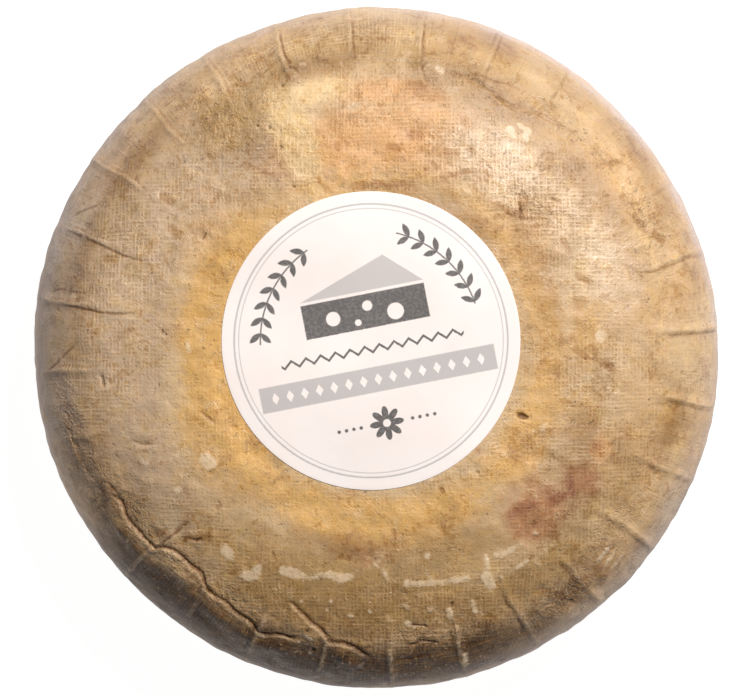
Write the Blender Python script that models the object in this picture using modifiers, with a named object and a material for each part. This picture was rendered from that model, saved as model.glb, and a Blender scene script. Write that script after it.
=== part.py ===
# A whole round cheese in its rind, with a round paper label stuck flat on its top.
# Metres, +Z up. The origin is the middle of the flat underside, and the top faces up.
# The rind keeps what its mould and pressing cloth left on it: upright ribs round the side, and the
# folded line round the shoulder where the lid of the mould was pressed in.

import math

import bpy
import numpy as np

# The body: a turned form, a flat base with a rounded side and a slightly domed top.
WHEEL_RADIUS = 0.1165
WHEEL_HEIGHT = 0.076
WAIST_HEIGHT = 0.036
BASE_RADIUS = 0.072
TOP_POWER = 4.0
SHOULDER_POWER = 2.2
FOOT_POWER = 2.3

# Outline unevenness: waves round the wheel, as (waves, share of the radius, angle of a crest).
OUTLINE_SWELLS = ((2, 0.0042, -21.0), (3, 0.0018, -48.0), (4, 0.0017, -10.0))

# Low hollows and rises of the top: (height, wavelength, direction, shift along the wave).
TOP_WAVES = (
    (0.00035, 0.105, 25.0, 0.4),
    (0.00030, 0.074, 118.0, 2.1),
    (0.00022, 0.049, 71.0, 4.0),
)

# Ribs left by the slats of the mould.
RIB_COUNT = 28
RIB_START = 3.8
RIB_HEIGHT = 0.0009
RIB_AT_WAIST = 0.2
RIB_HALF_WIDTH = 0.0019
RIB_DRIFT = 1.1
RIB_DRIFT_TOWARDS = 110.0
RIB_TOP_SHARE = (0.77, 0.87)
RIB_FOOT_SHARE = (0.74, 0.88)
FAINT_RIBS = (2, 3, 15, 16)
FAINT_RIB = 0.35

# The folded line round the shoulder: (angle, share of the radius, depth as a share of the deepest).
FOLD_LINE = (
    (0, 0.887, 0.15),
    (25, 0.846, 0.35),
    (45, 0.856, 0.30),
    (55, 0.831, 0.40),
    (61, 0.801, 0.50),
    (72, 0.826, 0.40),
    (90, 0.836, 0.25),
    (115, 0.866, 0.10),
    (150, 0.897, 0.00),
    (184, 0.913, 0.00),
    (190, 0.913, 0.40),
    (204, 0.913, 0.60),
    (209, 0.871, 0.85),
    (214, 0.858, 1.00),
    (221, 0.876, 1.00),
    (227, 0.831, 1.00),
    (233, 0.831, 1.00),
    (240, 0.861, 1.00),
    (248, 0.892, 1.00),
    (255, 0.868, 0.80),
    (261, 0.856, 0.90),
    (266, 0.866, 1.00),
    (271, 0.907, 0.60),
    (290, 0.897, 0.25),
    (320, 0.887, 0.20),
    (345, 0.876, 0.15),
)
FOLD_MEAN_SHARE = 0.87
FOLD_GROOVE_DEPTH = 0.0014
FOLD_GROOVE_WIDTH = 0.0010
FOLD_GROOVE_OFFSET = -0.0004
FOLD_LIP_HEIGHT = 0.0010
FOLD_LIP_WIDTH = 0.0028
FOLD_LIP_OFFSET = 0.0034

# Rings of the body's mesh, as shares of the radius on the top, and in quarter turns from there down.
CALM_SHARE = 0.55
TOP_RINGS = (0.22, 0.42, CALM_SHARE, 0.66, 0.75, 0.805, 0.840, 0.857, 0.8665, 0.8835, 0.905)
RIM_RINGS = 8
FOOT_RINGS = 10
BASE_RINGS = 1
COLUMNS_PER_RIB = 6
RIB_FLANK = 0.42

# The label: a round sheet of paper that follows the top.
LABEL_RADIUS = 0.050
LABEL_THICKNESS = 0.0003
LABEL_GAP = 0.0003
LABEL_CENTRE = (-0.0018, 0.0025)
LABEL_RINGS = 4
LABEL_STEPS = 48

MERGE_DISTANCE = 0.00005


def smooth_step(low, high, value):
    """0 below low, 1 above high, and an even S between them."""
    t = np.clip((value - low) / (high - low), 0.0, 1.0)
    return t * t * (3.0 - 2.0 * t)


def shoulder_height(share):
    """Height of the top and shoulder at a share of the radius: a superellipse over the waist."""
    rise = np.clip(1.0 - share**TOP_POWER, 0.0, 1.0) ** (1.0 / SHOULDER_POWER)
    return WAIST_HEIGHT + (WHEEL_HEIGHT - WAIST_HEIGHT) * rise


def top_wave(x, y):
    """Low rises and hollows of the top: a sum of a few slanted sine waves."""
    total = np.zeros_like(x)
    for height, length, direction, shift in TOP_WAVES:
        turn = math.radians(direction)
        along = x * math.cos(turn) + y * math.sin(turn)
        total += height * np.sin(2.0 * math.pi * along / length + shift)
    return total


def rib_angle(index):
    """Angle of a rib, in degrees: even spacing, drifting a little as the mould sat off centre."""
    even = RIB_START + index * 360.0 / RIB_COUNT
    return even + RIB_DRIFT * np.cos(np.radians(even - RIB_DRIFT_TOWARDS))


def rib_strength():
    """Height of each rib as a share of the tallest: four hardly show, and the rest vary slowly."""
    index = np.arange(RIB_COUNT)
    strength = 0.85 + 0.15 * np.cos(2.3 * index)
    strength[list(FAINT_RIBS)] = FAINT_RIB
    return strength


def fold_line(angle):
    """Share of the radius and depth of the folded line, at angles in degrees."""
    angles, shares, depths = np.array(FOLD_LINE).T
    share = np.interp(angle, angles, shares, period=360.0)
    depth = np.interp(angle, angles, depths, period=360.0)
    return share, depth


def spread_columns(column):
    """Angle of each column of the mesh: every rib has one on its crest and one close on each side."""
    pitch = 360.0 / RIB_COUNT
    place = column / COLUMNS_PER_RIB
    nearest = np.round(place)
    aside = (place - nearest) * pitch
    even = np.array([0.0, 1.0, 2.0, 3.0]) * pitch / COLUMNS_PER_RIB
    drawn_in = np.array([0.0, RIB_FLANK, 1.5 + RIB_FLANK / 2, 3.0]) * pitch / COLUMNS_PER_RIB
    aside = np.sign(aside) * np.interp(np.abs(aside), even, drawn_in)
    return rib_angle(nearest) + aside, aside, nearest.astype(int) % RIB_COUNT


def fold_relief(offset, depth):
    """A groove with a lip outside it: one bell curve down and a wider one up, side by side."""
    groove = np.exp(-(((offset - FOLD_GROOVE_OFFSET) / FOLD_GROOVE_WIDTH) ** 2))
    lip = np.exp(-(((offset - FOLD_LIP_OFFSET) / FOLD_LIP_WIDTH) ** 2))
    return depth * (FOLD_LIP_HEIGHT * lip - FOLD_GROOVE_DEPTH * groove)


def body_profile():
    """Points (radius, height) down the outer side, from the middle of the top to that of the base."""
    points = [(0.0, WHEEL_HEIGHT)]
    points += [(WHEEL_RADIUS * share, float(shoulder_height(share))) for share in TOP_RINGS]
    first = math.asin(TOP_RINGS[-1] ** (TOP_POWER / 2.0))
    for step in range(1, RIM_RINGS + 1):
        turn = first + (math.pi / 2.0 - first) * step / RIM_RINGS
        share = math.sin(turn) ** (2.0 / TOP_POWER)
        points.append((WHEEL_RADIUS * share, float(shoulder_height(np.array(share)))))
    for step in range(1, FOOT_RINGS + 1):
        turn = math.pi / 2.0 * step / FOOT_RINGS
        out = max(math.cos(turn), 0.0) ** (2.0 / FOOT_POWER)
        down = math.sin(turn) ** (2.0 / FOOT_POWER)
        radius = BASE_RADIUS + (WHEEL_RADIUS - BASE_RADIUS) * out
        points.append((radius, WAIST_HEIGHT * (1.0 - down)))
    for step in range(1, BASE_RINGS + 1):
        points.append((BASE_RADIUS * (1.0 - step / (BASE_RINGS + 1)), 0.0))
    points.append((0.0, 0.0))
    return points


def turned(name, profile, steps):
    """A mesh object turned about Z from a profile of (radius, height) points."""
    mesh = bpy.data.meshes.new(name)
    corners = [(radius, 0.0, height) for radius, height in profile]
    edges = [(i, i + 1) for i in range(len(corners) - 1)]
    mesh.from_pydata(corners, edges, [])
    source = bpy.data.objects.new(name, mesh)
    bpy.context.scene.collection.objects.link(source)
    screw = source.modifiers.new("Turn", "SCREW")
    screw.axis = "Z"
    screw.steps = steps
    screw.render_steps = steps
    screw.use_merge_vertices = True
    screw.merge_threshold = MERGE_DISTANCE
    return source


def made_mesh(source):
    """The turned object with its modifier applied, so that its points can be moved."""
    depsgraph = bpy.context.evaluated_depsgraph_get()
    mesh = bpy.data.meshes.new_from_object(source.evaluated_get(depsgraph))
    old = source.data
    source.modifiers.clear()
    source.data = mesh
    bpy.data.meshes.remove(old)
    mesh.name = source.name
    return source


def read_points(mesh):
    flat = np.empty(len(mesh.vertices) * 3, dtype=np.float32)
    mesh.vertices.foreach_get("co", flat)
    return flat.reshape(-1, 3).astype(float)


def write_points(mesh, points):
    mesh.vertices.foreach_set("co", points.astype(np.float32).ravel())
    mesh.update()


def shape_rind(points):
    """Moves the points of the turned body to those of the real, uneven one."""
    x, y, z = points.T
    radius = np.hypot(x, y)
    column = np.degrees(np.arctan2(y, x)) / 360.0 * RIB_COUNT * COLUMNS_PER_RIB
    angle, aside, rib = spread_columns(np.round(column))
    share = radius / WHEEL_RADIUS
    above = z > WAIST_HEIGHT - MERGE_DISTANCE

    # The rings near the folded line follow it, in or out, and those between give way evenly.
    fold, fold_depth = fold_line(angle)
    inner = CALM_SHARE + (share - CALM_SHARE) * (fold - CALM_SHARE) / (FOLD_MEAN_SHARE - CALM_SHARE)
    outer = 1.0 - (1.0 - share) * (1.0 - fold) / (1.0 - FOLD_MEAN_SHARE)
    moved = np.where(share < FOLD_MEAN_SHARE, inner, outer)
    moved = np.where(above & (share > CALM_SHARE), moved, share)
    height = np.where(above, shoulder_height(moved), z)

    # Relief stands square to the surface: ribs over shoulder, side and foot, and the fold.
    slope_out = np.where(above, TOP_POWER * moved ** (TOP_POWER - 1.0) / WHEEL_RADIUS, 0.0)
    lift = np.clip((height - WAIST_HEIGHT) / (WHEEL_HEIGHT - WAIST_HEIGHT), 0.0, 1.0)
    slope_up = SHOULDER_POWER * lift ** (SHOULDER_POWER - 1.0) / (WHEEL_HEIGHT - WAIST_HEIGHT)
    reach = np.clip((moved * WHEEL_RADIUS - BASE_RADIUS) / (WHEEL_RADIUS - BASE_RADIUS), 0.0, 1.0)
    sink = np.clip(1.0 - height / WAIST_HEIGHT, 0.0, 1.0)
    foot_out = FOOT_POWER * reach ** (FOOT_POWER - 1.0) / (WHEEL_RADIUS - BASE_RADIUS)
    foot_down = FOOT_POWER * sink ** (FOOT_POWER - 1.0) / WAIST_HEIGHT
    normal_out = np.where(above, slope_out, foot_out)
    normal_up = np.where(above, slope_up, -foot_down)
    length = np.maximum(np.hypot(normal_out, normal_up), 1e-9)

    rib_low, rib_high = RIB_TOP_SHARE
    foot_low, foot_high = RIB_FOOT_SHARE
    rib_fade = np.where(
        above, smooth_step(rib_low, rib_high, moved), smooth_step(foot_low, foot_high, moved)
    )
    from_waist = np.abs(height - WAIST_HEIGHT) / WAIST_HEIGHT
    rib_fade *= RIB_AT_WAIST + (1.0 - RIB_AT_WAIST) * smooth_step(0.05, 0.6, from_waist)
    across = np.radians(aside) * moved * WHEEL_RADIUS / RIB_HALF_WIDTH
    ribs = RIB_HEIGHT * rib_strength()[rib] * rib_fade * np.exp(-2.0 * across**2)
    fold_offset = (moved - fold) * WHEEL_RADIUS
    relief = ribs + np.where(above, fold_relief(fold_offset, fold_depth), 0.0)

    out = moved * WHEEL_RADIUS + relief * normal_out / length
    height = height + relief * normal_up / length
    swell = np.ones_like(angle)
    for waves, amount, crest in OUTLINE_SWELLS:
        swell += amount * moved**2 * np.cos(np.radians(waves * (angle - crest)))
    out = out * swell
    x = out * np.cos(np.radians(angle))
    y = out * np.sin(np.radians(angle))
    flatness = np.clip(1.0 - moved**TOP_POWER, 0.0, 1.0)
    height = height + np.where(above, top_wave(x, y) * flatness, 0.0)
    return np.stack([x, y, height], axis=1)


def centred(points):
    """How far the uneven outline's box is off the origin, so that it can stand over it."""
    middle = (points.min(axis=0) + points.max(axis=0)) / 2.0
    return np.array([middle[0], middle[1], 0.0])


def linear(red, green, blue):
    """A colour seen as 0 to 255 on a screen, as the shader's linear values."""
    return [((c / 255.0 + 0.055) / 1.055) ** 2.4 for c in (red, green, blue)] + [1.0]


def finish_material(name, colour, roughness):
    material = bpy.data.materials.new(name)
    material.use_nodes = True
    shader = material.node_tree.nodes["Principled BSDF"]
    shader.inputs["Base Color"].default_value = colour
    shader.inputs["Roughness"].default_value = roughness
    shader.inputs["Metallic"].default_value = 0.0
    material.diffuse_color = colour
    return material


def make_wheel(collection):
    """The whole cheese: one solid, turned, then given its ribs, fold and unevenness."""
    wheel = made_mesh(turned("wheel", body_profile(), RIB_COUNT * COLUMNS_PER_RIB))
    points = shape_rind(read_points(wheel.data))
    off = centred(points)
    write_points(wheel.data, points - off)
    wheel.data.materials.append(finish_material("rind", linear(200, 160, 118), 0.62))
    wheel.data.shade_smooth()
    move_to(collection, wheel)
    return off


def make_label(collection, off):
    """The paper label: a disc laid on the top, which it follows, a hair above the rind."""
    rings = [(LABEL_RADIUS * ring / LABEL_RINGS, 0.0) for ring in range(LABEL_RINGS + 1)]
    label = made_mesh(turned("label", rings, LABEL_STEPS))
    x, y, _ = read_points(label.data).T
    x = x + LABEL_CENTRE[0]
    y = y + LABEL_CENTRE[1]
    share = np.hypot(x, y) / WHEEL_RADIUS
    top = shoulder_height(share) + top_wave(x, y) * (1.0 - share**TOP_POWER)
    write_points(label.data, np.stack([x, y, top + LABEL_GAP], axis=1) - off)
    paper = label.modifiers.new("Thickness", "SOLIDIFY")
    paper.thickness = LABEL_THICKNESS
    paper.offset = 1.0
    label.data.materials.append(finish_material("paper", linear(252, 246, 238), 0.8))
    move_to(collection, label)


def move_to(collection, piece):
    for home in list(piece.users_collection):
        home.objects.unlink(piece)
    collection.objects.link(piece)


def main():
    for old in list(bpy.data.objects):
        bpy.data.objects.remove(old)
    collection = bpy.data.collections.new("cheese_wheel")
    bpy.context.scene.collection.children.link(collection)
    off = make_wheel(collection)
    make_label(collection, off)


main()
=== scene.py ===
import math

import bpy
import numpy as np
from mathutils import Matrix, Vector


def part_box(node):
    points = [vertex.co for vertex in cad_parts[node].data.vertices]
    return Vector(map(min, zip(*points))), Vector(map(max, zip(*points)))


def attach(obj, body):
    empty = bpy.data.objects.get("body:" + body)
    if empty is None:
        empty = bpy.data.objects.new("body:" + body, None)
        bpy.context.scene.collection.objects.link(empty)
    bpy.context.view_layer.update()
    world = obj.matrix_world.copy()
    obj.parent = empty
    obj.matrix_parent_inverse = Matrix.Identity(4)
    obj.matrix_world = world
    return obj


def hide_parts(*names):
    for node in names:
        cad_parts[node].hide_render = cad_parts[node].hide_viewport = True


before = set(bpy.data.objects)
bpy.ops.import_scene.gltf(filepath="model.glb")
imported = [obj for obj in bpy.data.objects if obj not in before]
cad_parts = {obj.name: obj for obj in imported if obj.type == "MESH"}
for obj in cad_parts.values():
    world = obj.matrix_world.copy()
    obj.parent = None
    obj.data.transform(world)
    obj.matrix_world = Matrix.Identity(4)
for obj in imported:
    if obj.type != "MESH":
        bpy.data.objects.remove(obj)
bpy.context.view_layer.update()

# The photograph that the marks were read from: the wheel's outline in it, in its own pixels.
photo = {
    "width": 752,
    "height": 697,
    "wheelX": 376.3,
    "wheelY": 348.0,
    "wheelPixels": 340.3,      # mean radius of the outline
    "nearness": 0.024,         # how much larger the top looks than the waist, being nearer
}

# The cheese's form, in metres. These are the numbers that its solid was made from.
wheel = {
    "radius": 0.1165,
    "height": 0.076,
    "waist": 0.036,            # height of the widest line
    "baseRadius": 0.072,       # of the flat underside
    "topPower": 4.0,
    "shoulderPower": 2.2,
    "footPower": 2.3,
    "calmShare": 0.55,         # inside this share of the radius nothing shifts the rows
    "foldMeanShare": 0.87,     # the share that is drawn to the fold line
    "columns": 720,
    "denseFrom": 200.0,        # degrees where the mesh is finer, at the deep folds
    "denseTo": 278.0,
    "denser": 1.75,
}
swells = [(2, 0.0042, -21.0), (3, 0.0018, -48.0), (4, 0.0017, -10.0)]   # waves, share, crest angle
topWaves = [                   # height, wavelength, direction, shift
    (0.00035, 0.105, 25.0, 0.4),
    (0.00030, 0.074, 118.0, 2.1),
    (0.00022, 0.049, 71.0, 4.0),
]
ribs = {
    "count": 28,
    "start": 3.8,              # degrees
    "height": 0.0009,
    "atWaist": 0.12,
    "wobble": 0.0007,          # how far a rib strays from its line
    "halfWidth": 0.0016,
    "drift": 1.1,              # degrees that the spacing drifts by, towards driftTowards
    "driftTowards": 110.0,
    "topShares": (0.77, 0.87),
    "footShares": (0.74, 0.88),
    "faint": [2, 3, 15, 16],   # the ribs that hardly show
    "faintStrength": 0.35,
}
foldLine = [                   # angle, share of the radius, depth as a share of the deepest
    (0, 0.887, 0.15), (25, 0.846, 0.35), (45, 0.856, 0.30), (55, 0.831, 0.40), (61, 0.801, 0.50),
    (72, 0.826, 0.40), (90, 0.836, 0.25), (115, 0.866, 0.10), (150, 0.897, 0.00), (184, 0.913, 0.00),
    (190, 0.913, 0.40), (204, 0.913, 0.60), (209, 0.871, 0.85), (214, 0.858, 1.00), (221, 0.876, 1.00),
    (227, 0.831, 1.00), (233, 0.831, 1.00), (240, 0.861, 1.00), (248, 0.892, 1.00), (255, 0.868, 0.80),
    (261, 0.856, 0.90), (266, 0.866, 1.00), (271, 0.907, 0.60), (290, 0.897, 0.25), (320, 0.887, 0.20),
    (345, 0.876, 0.15),
]
fold = {
    "grooveDepth": 0.0007,
    "grooveWidth": 0.0006,
    "grooveOffset": -0.0002,
    "lipHeight": 0.00026,
    "lipWidth": 0.0009,
    "lipOffset": 0.0012,
    "pillowHeight": 0.0011,    # the swollen band outside the deep folds
    "pillowWidth": 0.0042,
    "pillowOffset": 0.0050,
    "partedBy": 0.0022,        # how near a rib that band is parted
    "deepFrom": 206.0,         # between these angles the two deep folds take its place
    "deepTo": 270.0,
}
creaseShape = {                # widths and offset in half widths of the crease, reaches in metres
    "grooveWidth": 1.7,
    "lipWidth": 2.0,
    "lipOffset": 2.4,
    "strength": 0.45,          # of groove and lip, as a share of the crease's depth
    "lipReach": 0.003,
    "reach": 0.006,
}
unevenness = {                 # height, wavelength and seed of each kind of lump
    "waver": (0.00030, 0.008, 21),     # how far the folds stray from their paths
    "broken": (0.40, 0.0055, 33),      # no height, but how much the lips and ribs come and go
    "large": (0.00020, 0.045, 3),
    "middle": (0.00010, 0.014, 5),
    "small": (0.00007, 0.006, 8),
}
markRelief = {                 # height in metres, and half the width of its slope in millimetres
    "flake": (0.00018, 0.8),
    "bead": (0.00020, 0.5),
    "pit": (-0.0007, 0.5),
}
darkRindAndShade = {                      # the dark band outside the deep folds, away from the key light: partly the rind's darker colour, partly painted shade
    "starts": (0.002, 0.012),  # metres outside the fold line
    "ends": (0.985, 1.06),     # share, counted on past the widest line
    "rises": (200.0, 222.0),   # degrees
    "falls": (262.0, 292.0),
    "strength": 0.85,
}
farFromMark = -4.0             # a mark's field where no mark is near

# Deep folds, as paths in the photograph's pixels, running with their outer side on the right.
deepFolds = [
    [(108.8, 490.3), (114.7, 494.7), (120.5, 501.5), (124.9, 513.7), (133.7, 526.9), (144.0, 538.7),
     (154.3, 548.9), (163.1, 547.5), (173.3, 551.9), (182.1, 557.7), (190.9, 566.5), (199.7, 575.3),
     (202.7, 582.7), (208.5, 591.5), (217.4, 598.8), (226.2, 606.2), (236.4, 612.0), (246.7, 620.8),
     (255.5, 628.2), (262.8, 634.0), (276.0, 634.2), (290.7, 637.0), (302.4, 638.4), (309.0, 642.0)],
    [(286.3, 603.0), (294.0, 603.6), (301.3, 611.0), (310.1, 621.2), (320.4, 628.6), (327.7, 635.9),
     (330.7, 641.8), (343.9, 642.5), (355.6, 647.6), (365.9, 655.0), (371.8, 658.6)],
]

# Creases in the cloth: path in pixels with its raised edge on the right, half width and depth in
# millimetres, and how dark the painted shade along the line is.
creases = [
    ([(152, 264), (135, 259), (117, 252.5), (97, 244), (80, 236), (68, 229)], 0.40, 0.45, 0.8),
    ([(105, 202), (97, 206), (82, 212.5), (72, 219)], 0.40, 0.40, 0.7),
    ([(76, 206), (67.5, 214)], 0.35, 0.30, 0.6),
    ([(140, 314.5), (125, 314), (100, 312), (80, 308), (60, 304)], 0.45, 0.50, 0.9),
    ([(87, 293), (75, 292), (62, 290), (51, 294)], 0.40, 0.35, 0.7),
    ([(61, 280), (55, 287)], 0.35, 0.30, 0.6),
    ([(79, 341), (67, 354), (57, 364), (47, 374)], 0.60, 0.60, 0.9),
    ([(120, 347), (142, 342), (167, 335)], 0.70, 0.20, 0.3),
    ([(279, 30), (282, 47), (285, 57), (295, 70), (304, 80)], 0.40, 0.45, 0.8),
    ([(300, 55), (322, 61), (335, 66)], 0.40, 0.25, 0.5),
    ([(352, 23), (353, 40), (353, 55)], 0.40, 0.40, 0.7),
    ([(424, 28), (423, 45), (421, 57)], 0.65, 0.45, 0.7),
    ([(421, 60), (423, 68), (426, 78), (431, 85)], 0.45, 0.35, 0.6),
    ([(498, 31), (494, 40), (490, 48)], 0.55, 0.35, 0.6),
    ([(470, 73), (487, 79), (508, 84), (521, 91)], 0.50, 0.35, 0.5),
    ([(490, 92), (500, 100), (510, 108), (521, 112)], 0.45, 0.35, 0.6),
    ([(697, 252), (685, 258), (670, 267.5), (652, 272.5), (639, 272), (625, 264), (602, 255)],
     0.35, 0.28, 0.35),
    ([(521, 112), (535, 113), (545, 118), (556, 124), (572, 130)], 0.45, 0.45, 0.5),
    ([(200, 411), (207, 416), (217, 424)], 0.55, 0.90, 0.8),
    ([(130, 440), (142, 444), (158, 443)], 0.55, 0.80, 0.7),
    ([(717, 330), (695, 334), (680, 336), (665, 338), (650, 340)], 0.40, 0.35, 0.35),
    ([(710, 408), (690, 405), (657, 404), (632, 404)], 0.40, 0.35, 0.35),
    ([(620, 207), (632, 215), (640, 228), (655, 235)], 0.70, 0.35, 0.5),
    ([(550, 197), (562, 200)], 0.45, 0.35, 0.8),
    ([(520, 193), (519, 202), (521, 208), (521, 218), (535, 219), (548, 219)], 0.50, 0.40, 0.8),
    ([(681, 474), (657, 471), (647, 464), (625, 460)], 0.45, 0.28, 0.3),
    ([(643, 545), (610, 523), (588, 508)], 0.45, 0.30, 0.35),
    ([(592, 595), (575, 575), (563, 561)], 0.40, 0.30, 0.4),
    ([(528, 636), (515, 612), (505, 602), (497, 580)], 0.50, 0.50, 0.5),
    ([(463, 662), (455, 635), (449, 612)], 0.45, 0.40, 0.5),
    ([(157, 547), (166, 539), (175, 534), (184, 525.5)], 0.45, 0.50, 0.9),
    ([(184, 545), (186, 539), (197, 540), (206, 538)], 0.40, 0.40, 0.8),
    ([(144, 556), (138, 566), (131, 575)], 0.50, 0.50, 0.6),
    ([(201, 596), (196, 606), (190, 614)], 0.50, 0.50, 0.6),
    ([(250, 628), (247, 640), (243, 650)], 0.50, 0.50, 0.6),
    ([(96, 487), (103, 492), (108, 500)], 0.45, 0.40, 0.8),
    ([(108, 485), (115, 490), (121, 497)], 0.45, 0.35, 0.8),
    ([(565, 552), (575, 562), (582, 582), (590, 595), (600, 600)], 0.60, 0.35, 0.5),
]

# Marks on the rind, as strokes in pixels with a half width in millimetres.
marks = {
    "flake": [
        ([(283, 571), (298, 574)], 1.5), ([(298, 575), (312, 578), (326, 575)], 0.9),
        ([(329, 575), (341, 579), (350, 577)], 1.3), ([(376, 564)], 1.0),
        ([(383, 571), (387, 579)], 0.9),
        ([(407, 584), (424, 584), (441, 583), (452, 580), (467, 579)], 1.1),
        ([(426, 572), (431, 579)], 0.6), ([(486, 557), (487, 568)], 0.9),
        ([(486, 576), (490, 585)], 1.7), ([(496, 556), (507, 552), (520, 544)], 1.0),
        ([(516, 568), (526, 561)], 0.7), ([(502, 578)], 0.9), ([(472, 602), (475, 611)], 0.8),
        ([(449, 611), (450, 617)], 1.0), ([(465, 653), (466, 662)], 0.8),
        ([(226, 551), (229, 555)], 1.9), ([(247, 576), (253, 574), (256, 571)], 2.0),
        ([(205, 459), (209, 463)], 2.4), ([(178, 490)], 1.0), ([(240, 577)], 0.8),
        ([(510, 129), (513, 134)], 1.7), ([(520, 125), (528, 131), (525, 138)], 1.2),
        ([(509, 146)], 1.3), ([(596, 223)], 1.2), ([(601, 336)], 1.9), ([(107, 376), (109, 388)], 0.7),
        ([(427, 556)], 0.8), ([(386, 580)], 0.9), ([(597, 560), (606, 548)], 0.6),
        ([(604, 563), (614, 549)], 0.6), ([(611, 566), (620, 553)], 0.5), ([(437, 68), (441, 72)], 1.3),
        ([(425, 58), (429, 66)], 0.6), ([(187, 342), (190, 352)], 0.6), ([(139, 457), (146, 463)], 0.8),
    ],
    "bead": [                  # small, sharp and pale
        ([(331, 601)], 0.7), ([(370, 611)], 0.9), ([(407, 623), (409, 624)], 0.9), ([(414, 628)], 0.6),
        ([(327, 610)], 0.6), ([(349, 615), (352, 616)], 0.6), ([(301, 601)], 0.6),
        ([(305, 635), (311, 638)], 0.6), ([(310, 653)], 0.8), ([(299, 641)], 0.5), ([(452, 612)], 0.6),
        ([(205, 461)], 0.6),
    ],
    "pit": [
        ([(519, 415), (526, 417)], 0.8), ([(397, 591.5), (406, 593)], 0.35), ([(452, 605)], 0.9),
        ([(412, 625), (426, 627)], 0.35), ([(411, 645), (424, 640)], 0.4),
        ([(419, 640), (436, 642)], 0.35), ([(307, 631)], 0.5), ([(314, 649)], 0.6),
        ([(183, 526), (186, 525)], 0.25), ([(195, 541), (200, 539)], 0.3), ([(471, 149)], 0.4),
        ([(520, 206), (522, 213)], 0.35), ([(514, 212)], 0.4), ([(269.5, 126)], 0.7),
        ([(281, 146)], 0.5), ([(282.5, 85)], 0.6), ([(294, 186)], 0.5), ([(257, 125)], 0.4),
        ([(103, 376), (105, 386)], 0.5), ([(206, 234), (203, 239)], 0.35),
        ([(162, 331), (166, 334)], 0.4), ([(117, 390)], 0.6), ([(560, 512)], 0.5), ([(370, 552)], 0.4),
        ([(441, 490)], 0.5), ([(541, 588)], 0.5), ([(556, 594)], 0.5), ([(571, 600)], 0.5),
    ],
    "spot": [                  # soft brown ones
        ([(337, 146)], 1.5), ([(346, 144)], 1.0), ([(389, 147), (395, 148)], 1.2),
        ([(409, 135), (420, 134)], 1.3), ([(422, 150)], 0.9), ([(471, 150)], 1.4),
        ([(446, 152), (456, 153)], 1.0), ([(432, 163), (437, 168)], 0.8), ([(317, 132)], 0.8),
        ([(452, 175), (470, 172)], 0.9), ([(352, 186), (384, 184), (412, 184)], 1.0),
        ([(318, 176), (320, 184), (328, 190)], 0.6), ([(655, 234), (662, 240)], 1.5),
        ([(636, 217), (645, 227)], 1.1), ([(370, 543)], 1.0), ([(370, 555)], 0.9), ([(441, 490)], 1.0),
        ([(521, 416)], 1.3), ([(500, 205), (512, 214)], 0.9),
        ([(522, 198), (524, 208), (518, 216)], 1.8), ([(533, 226), (548, 224)], 0.9),
        ([(563, 240), (570, 252)], 1.0), ([(578, 276), (590, 282)], 1.0),
        ([(600, 362), (612, 370)], 1.2), ([(575, 350), (585, 356)], 1.0),
        ([(540, 590), (585, 600)], 1.6), ([(108, 259), (115, 260)], 1.3),
        ([(150, 535), (166, 531)], 1.2), ([(186, 539), (206, 538)], 1.3),
        ([(176, 532), (186, 524)], 1.0), ([(163, 196), (172, 202)], 1.4),
        ([(171, 228), (178, 236)], 1.4),
    ],
    "stain": [                 # wine-red
        ([(569, 478), (571, 494)], 1.3), ([(479, 451)], 1.0),
        ([(512, 514), (521, 508), (531, 505)], 1.7), ([(552, 500), (563, 495)], 1.6),
        ([(596, 445)], 1.2),
    ],
}

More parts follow.
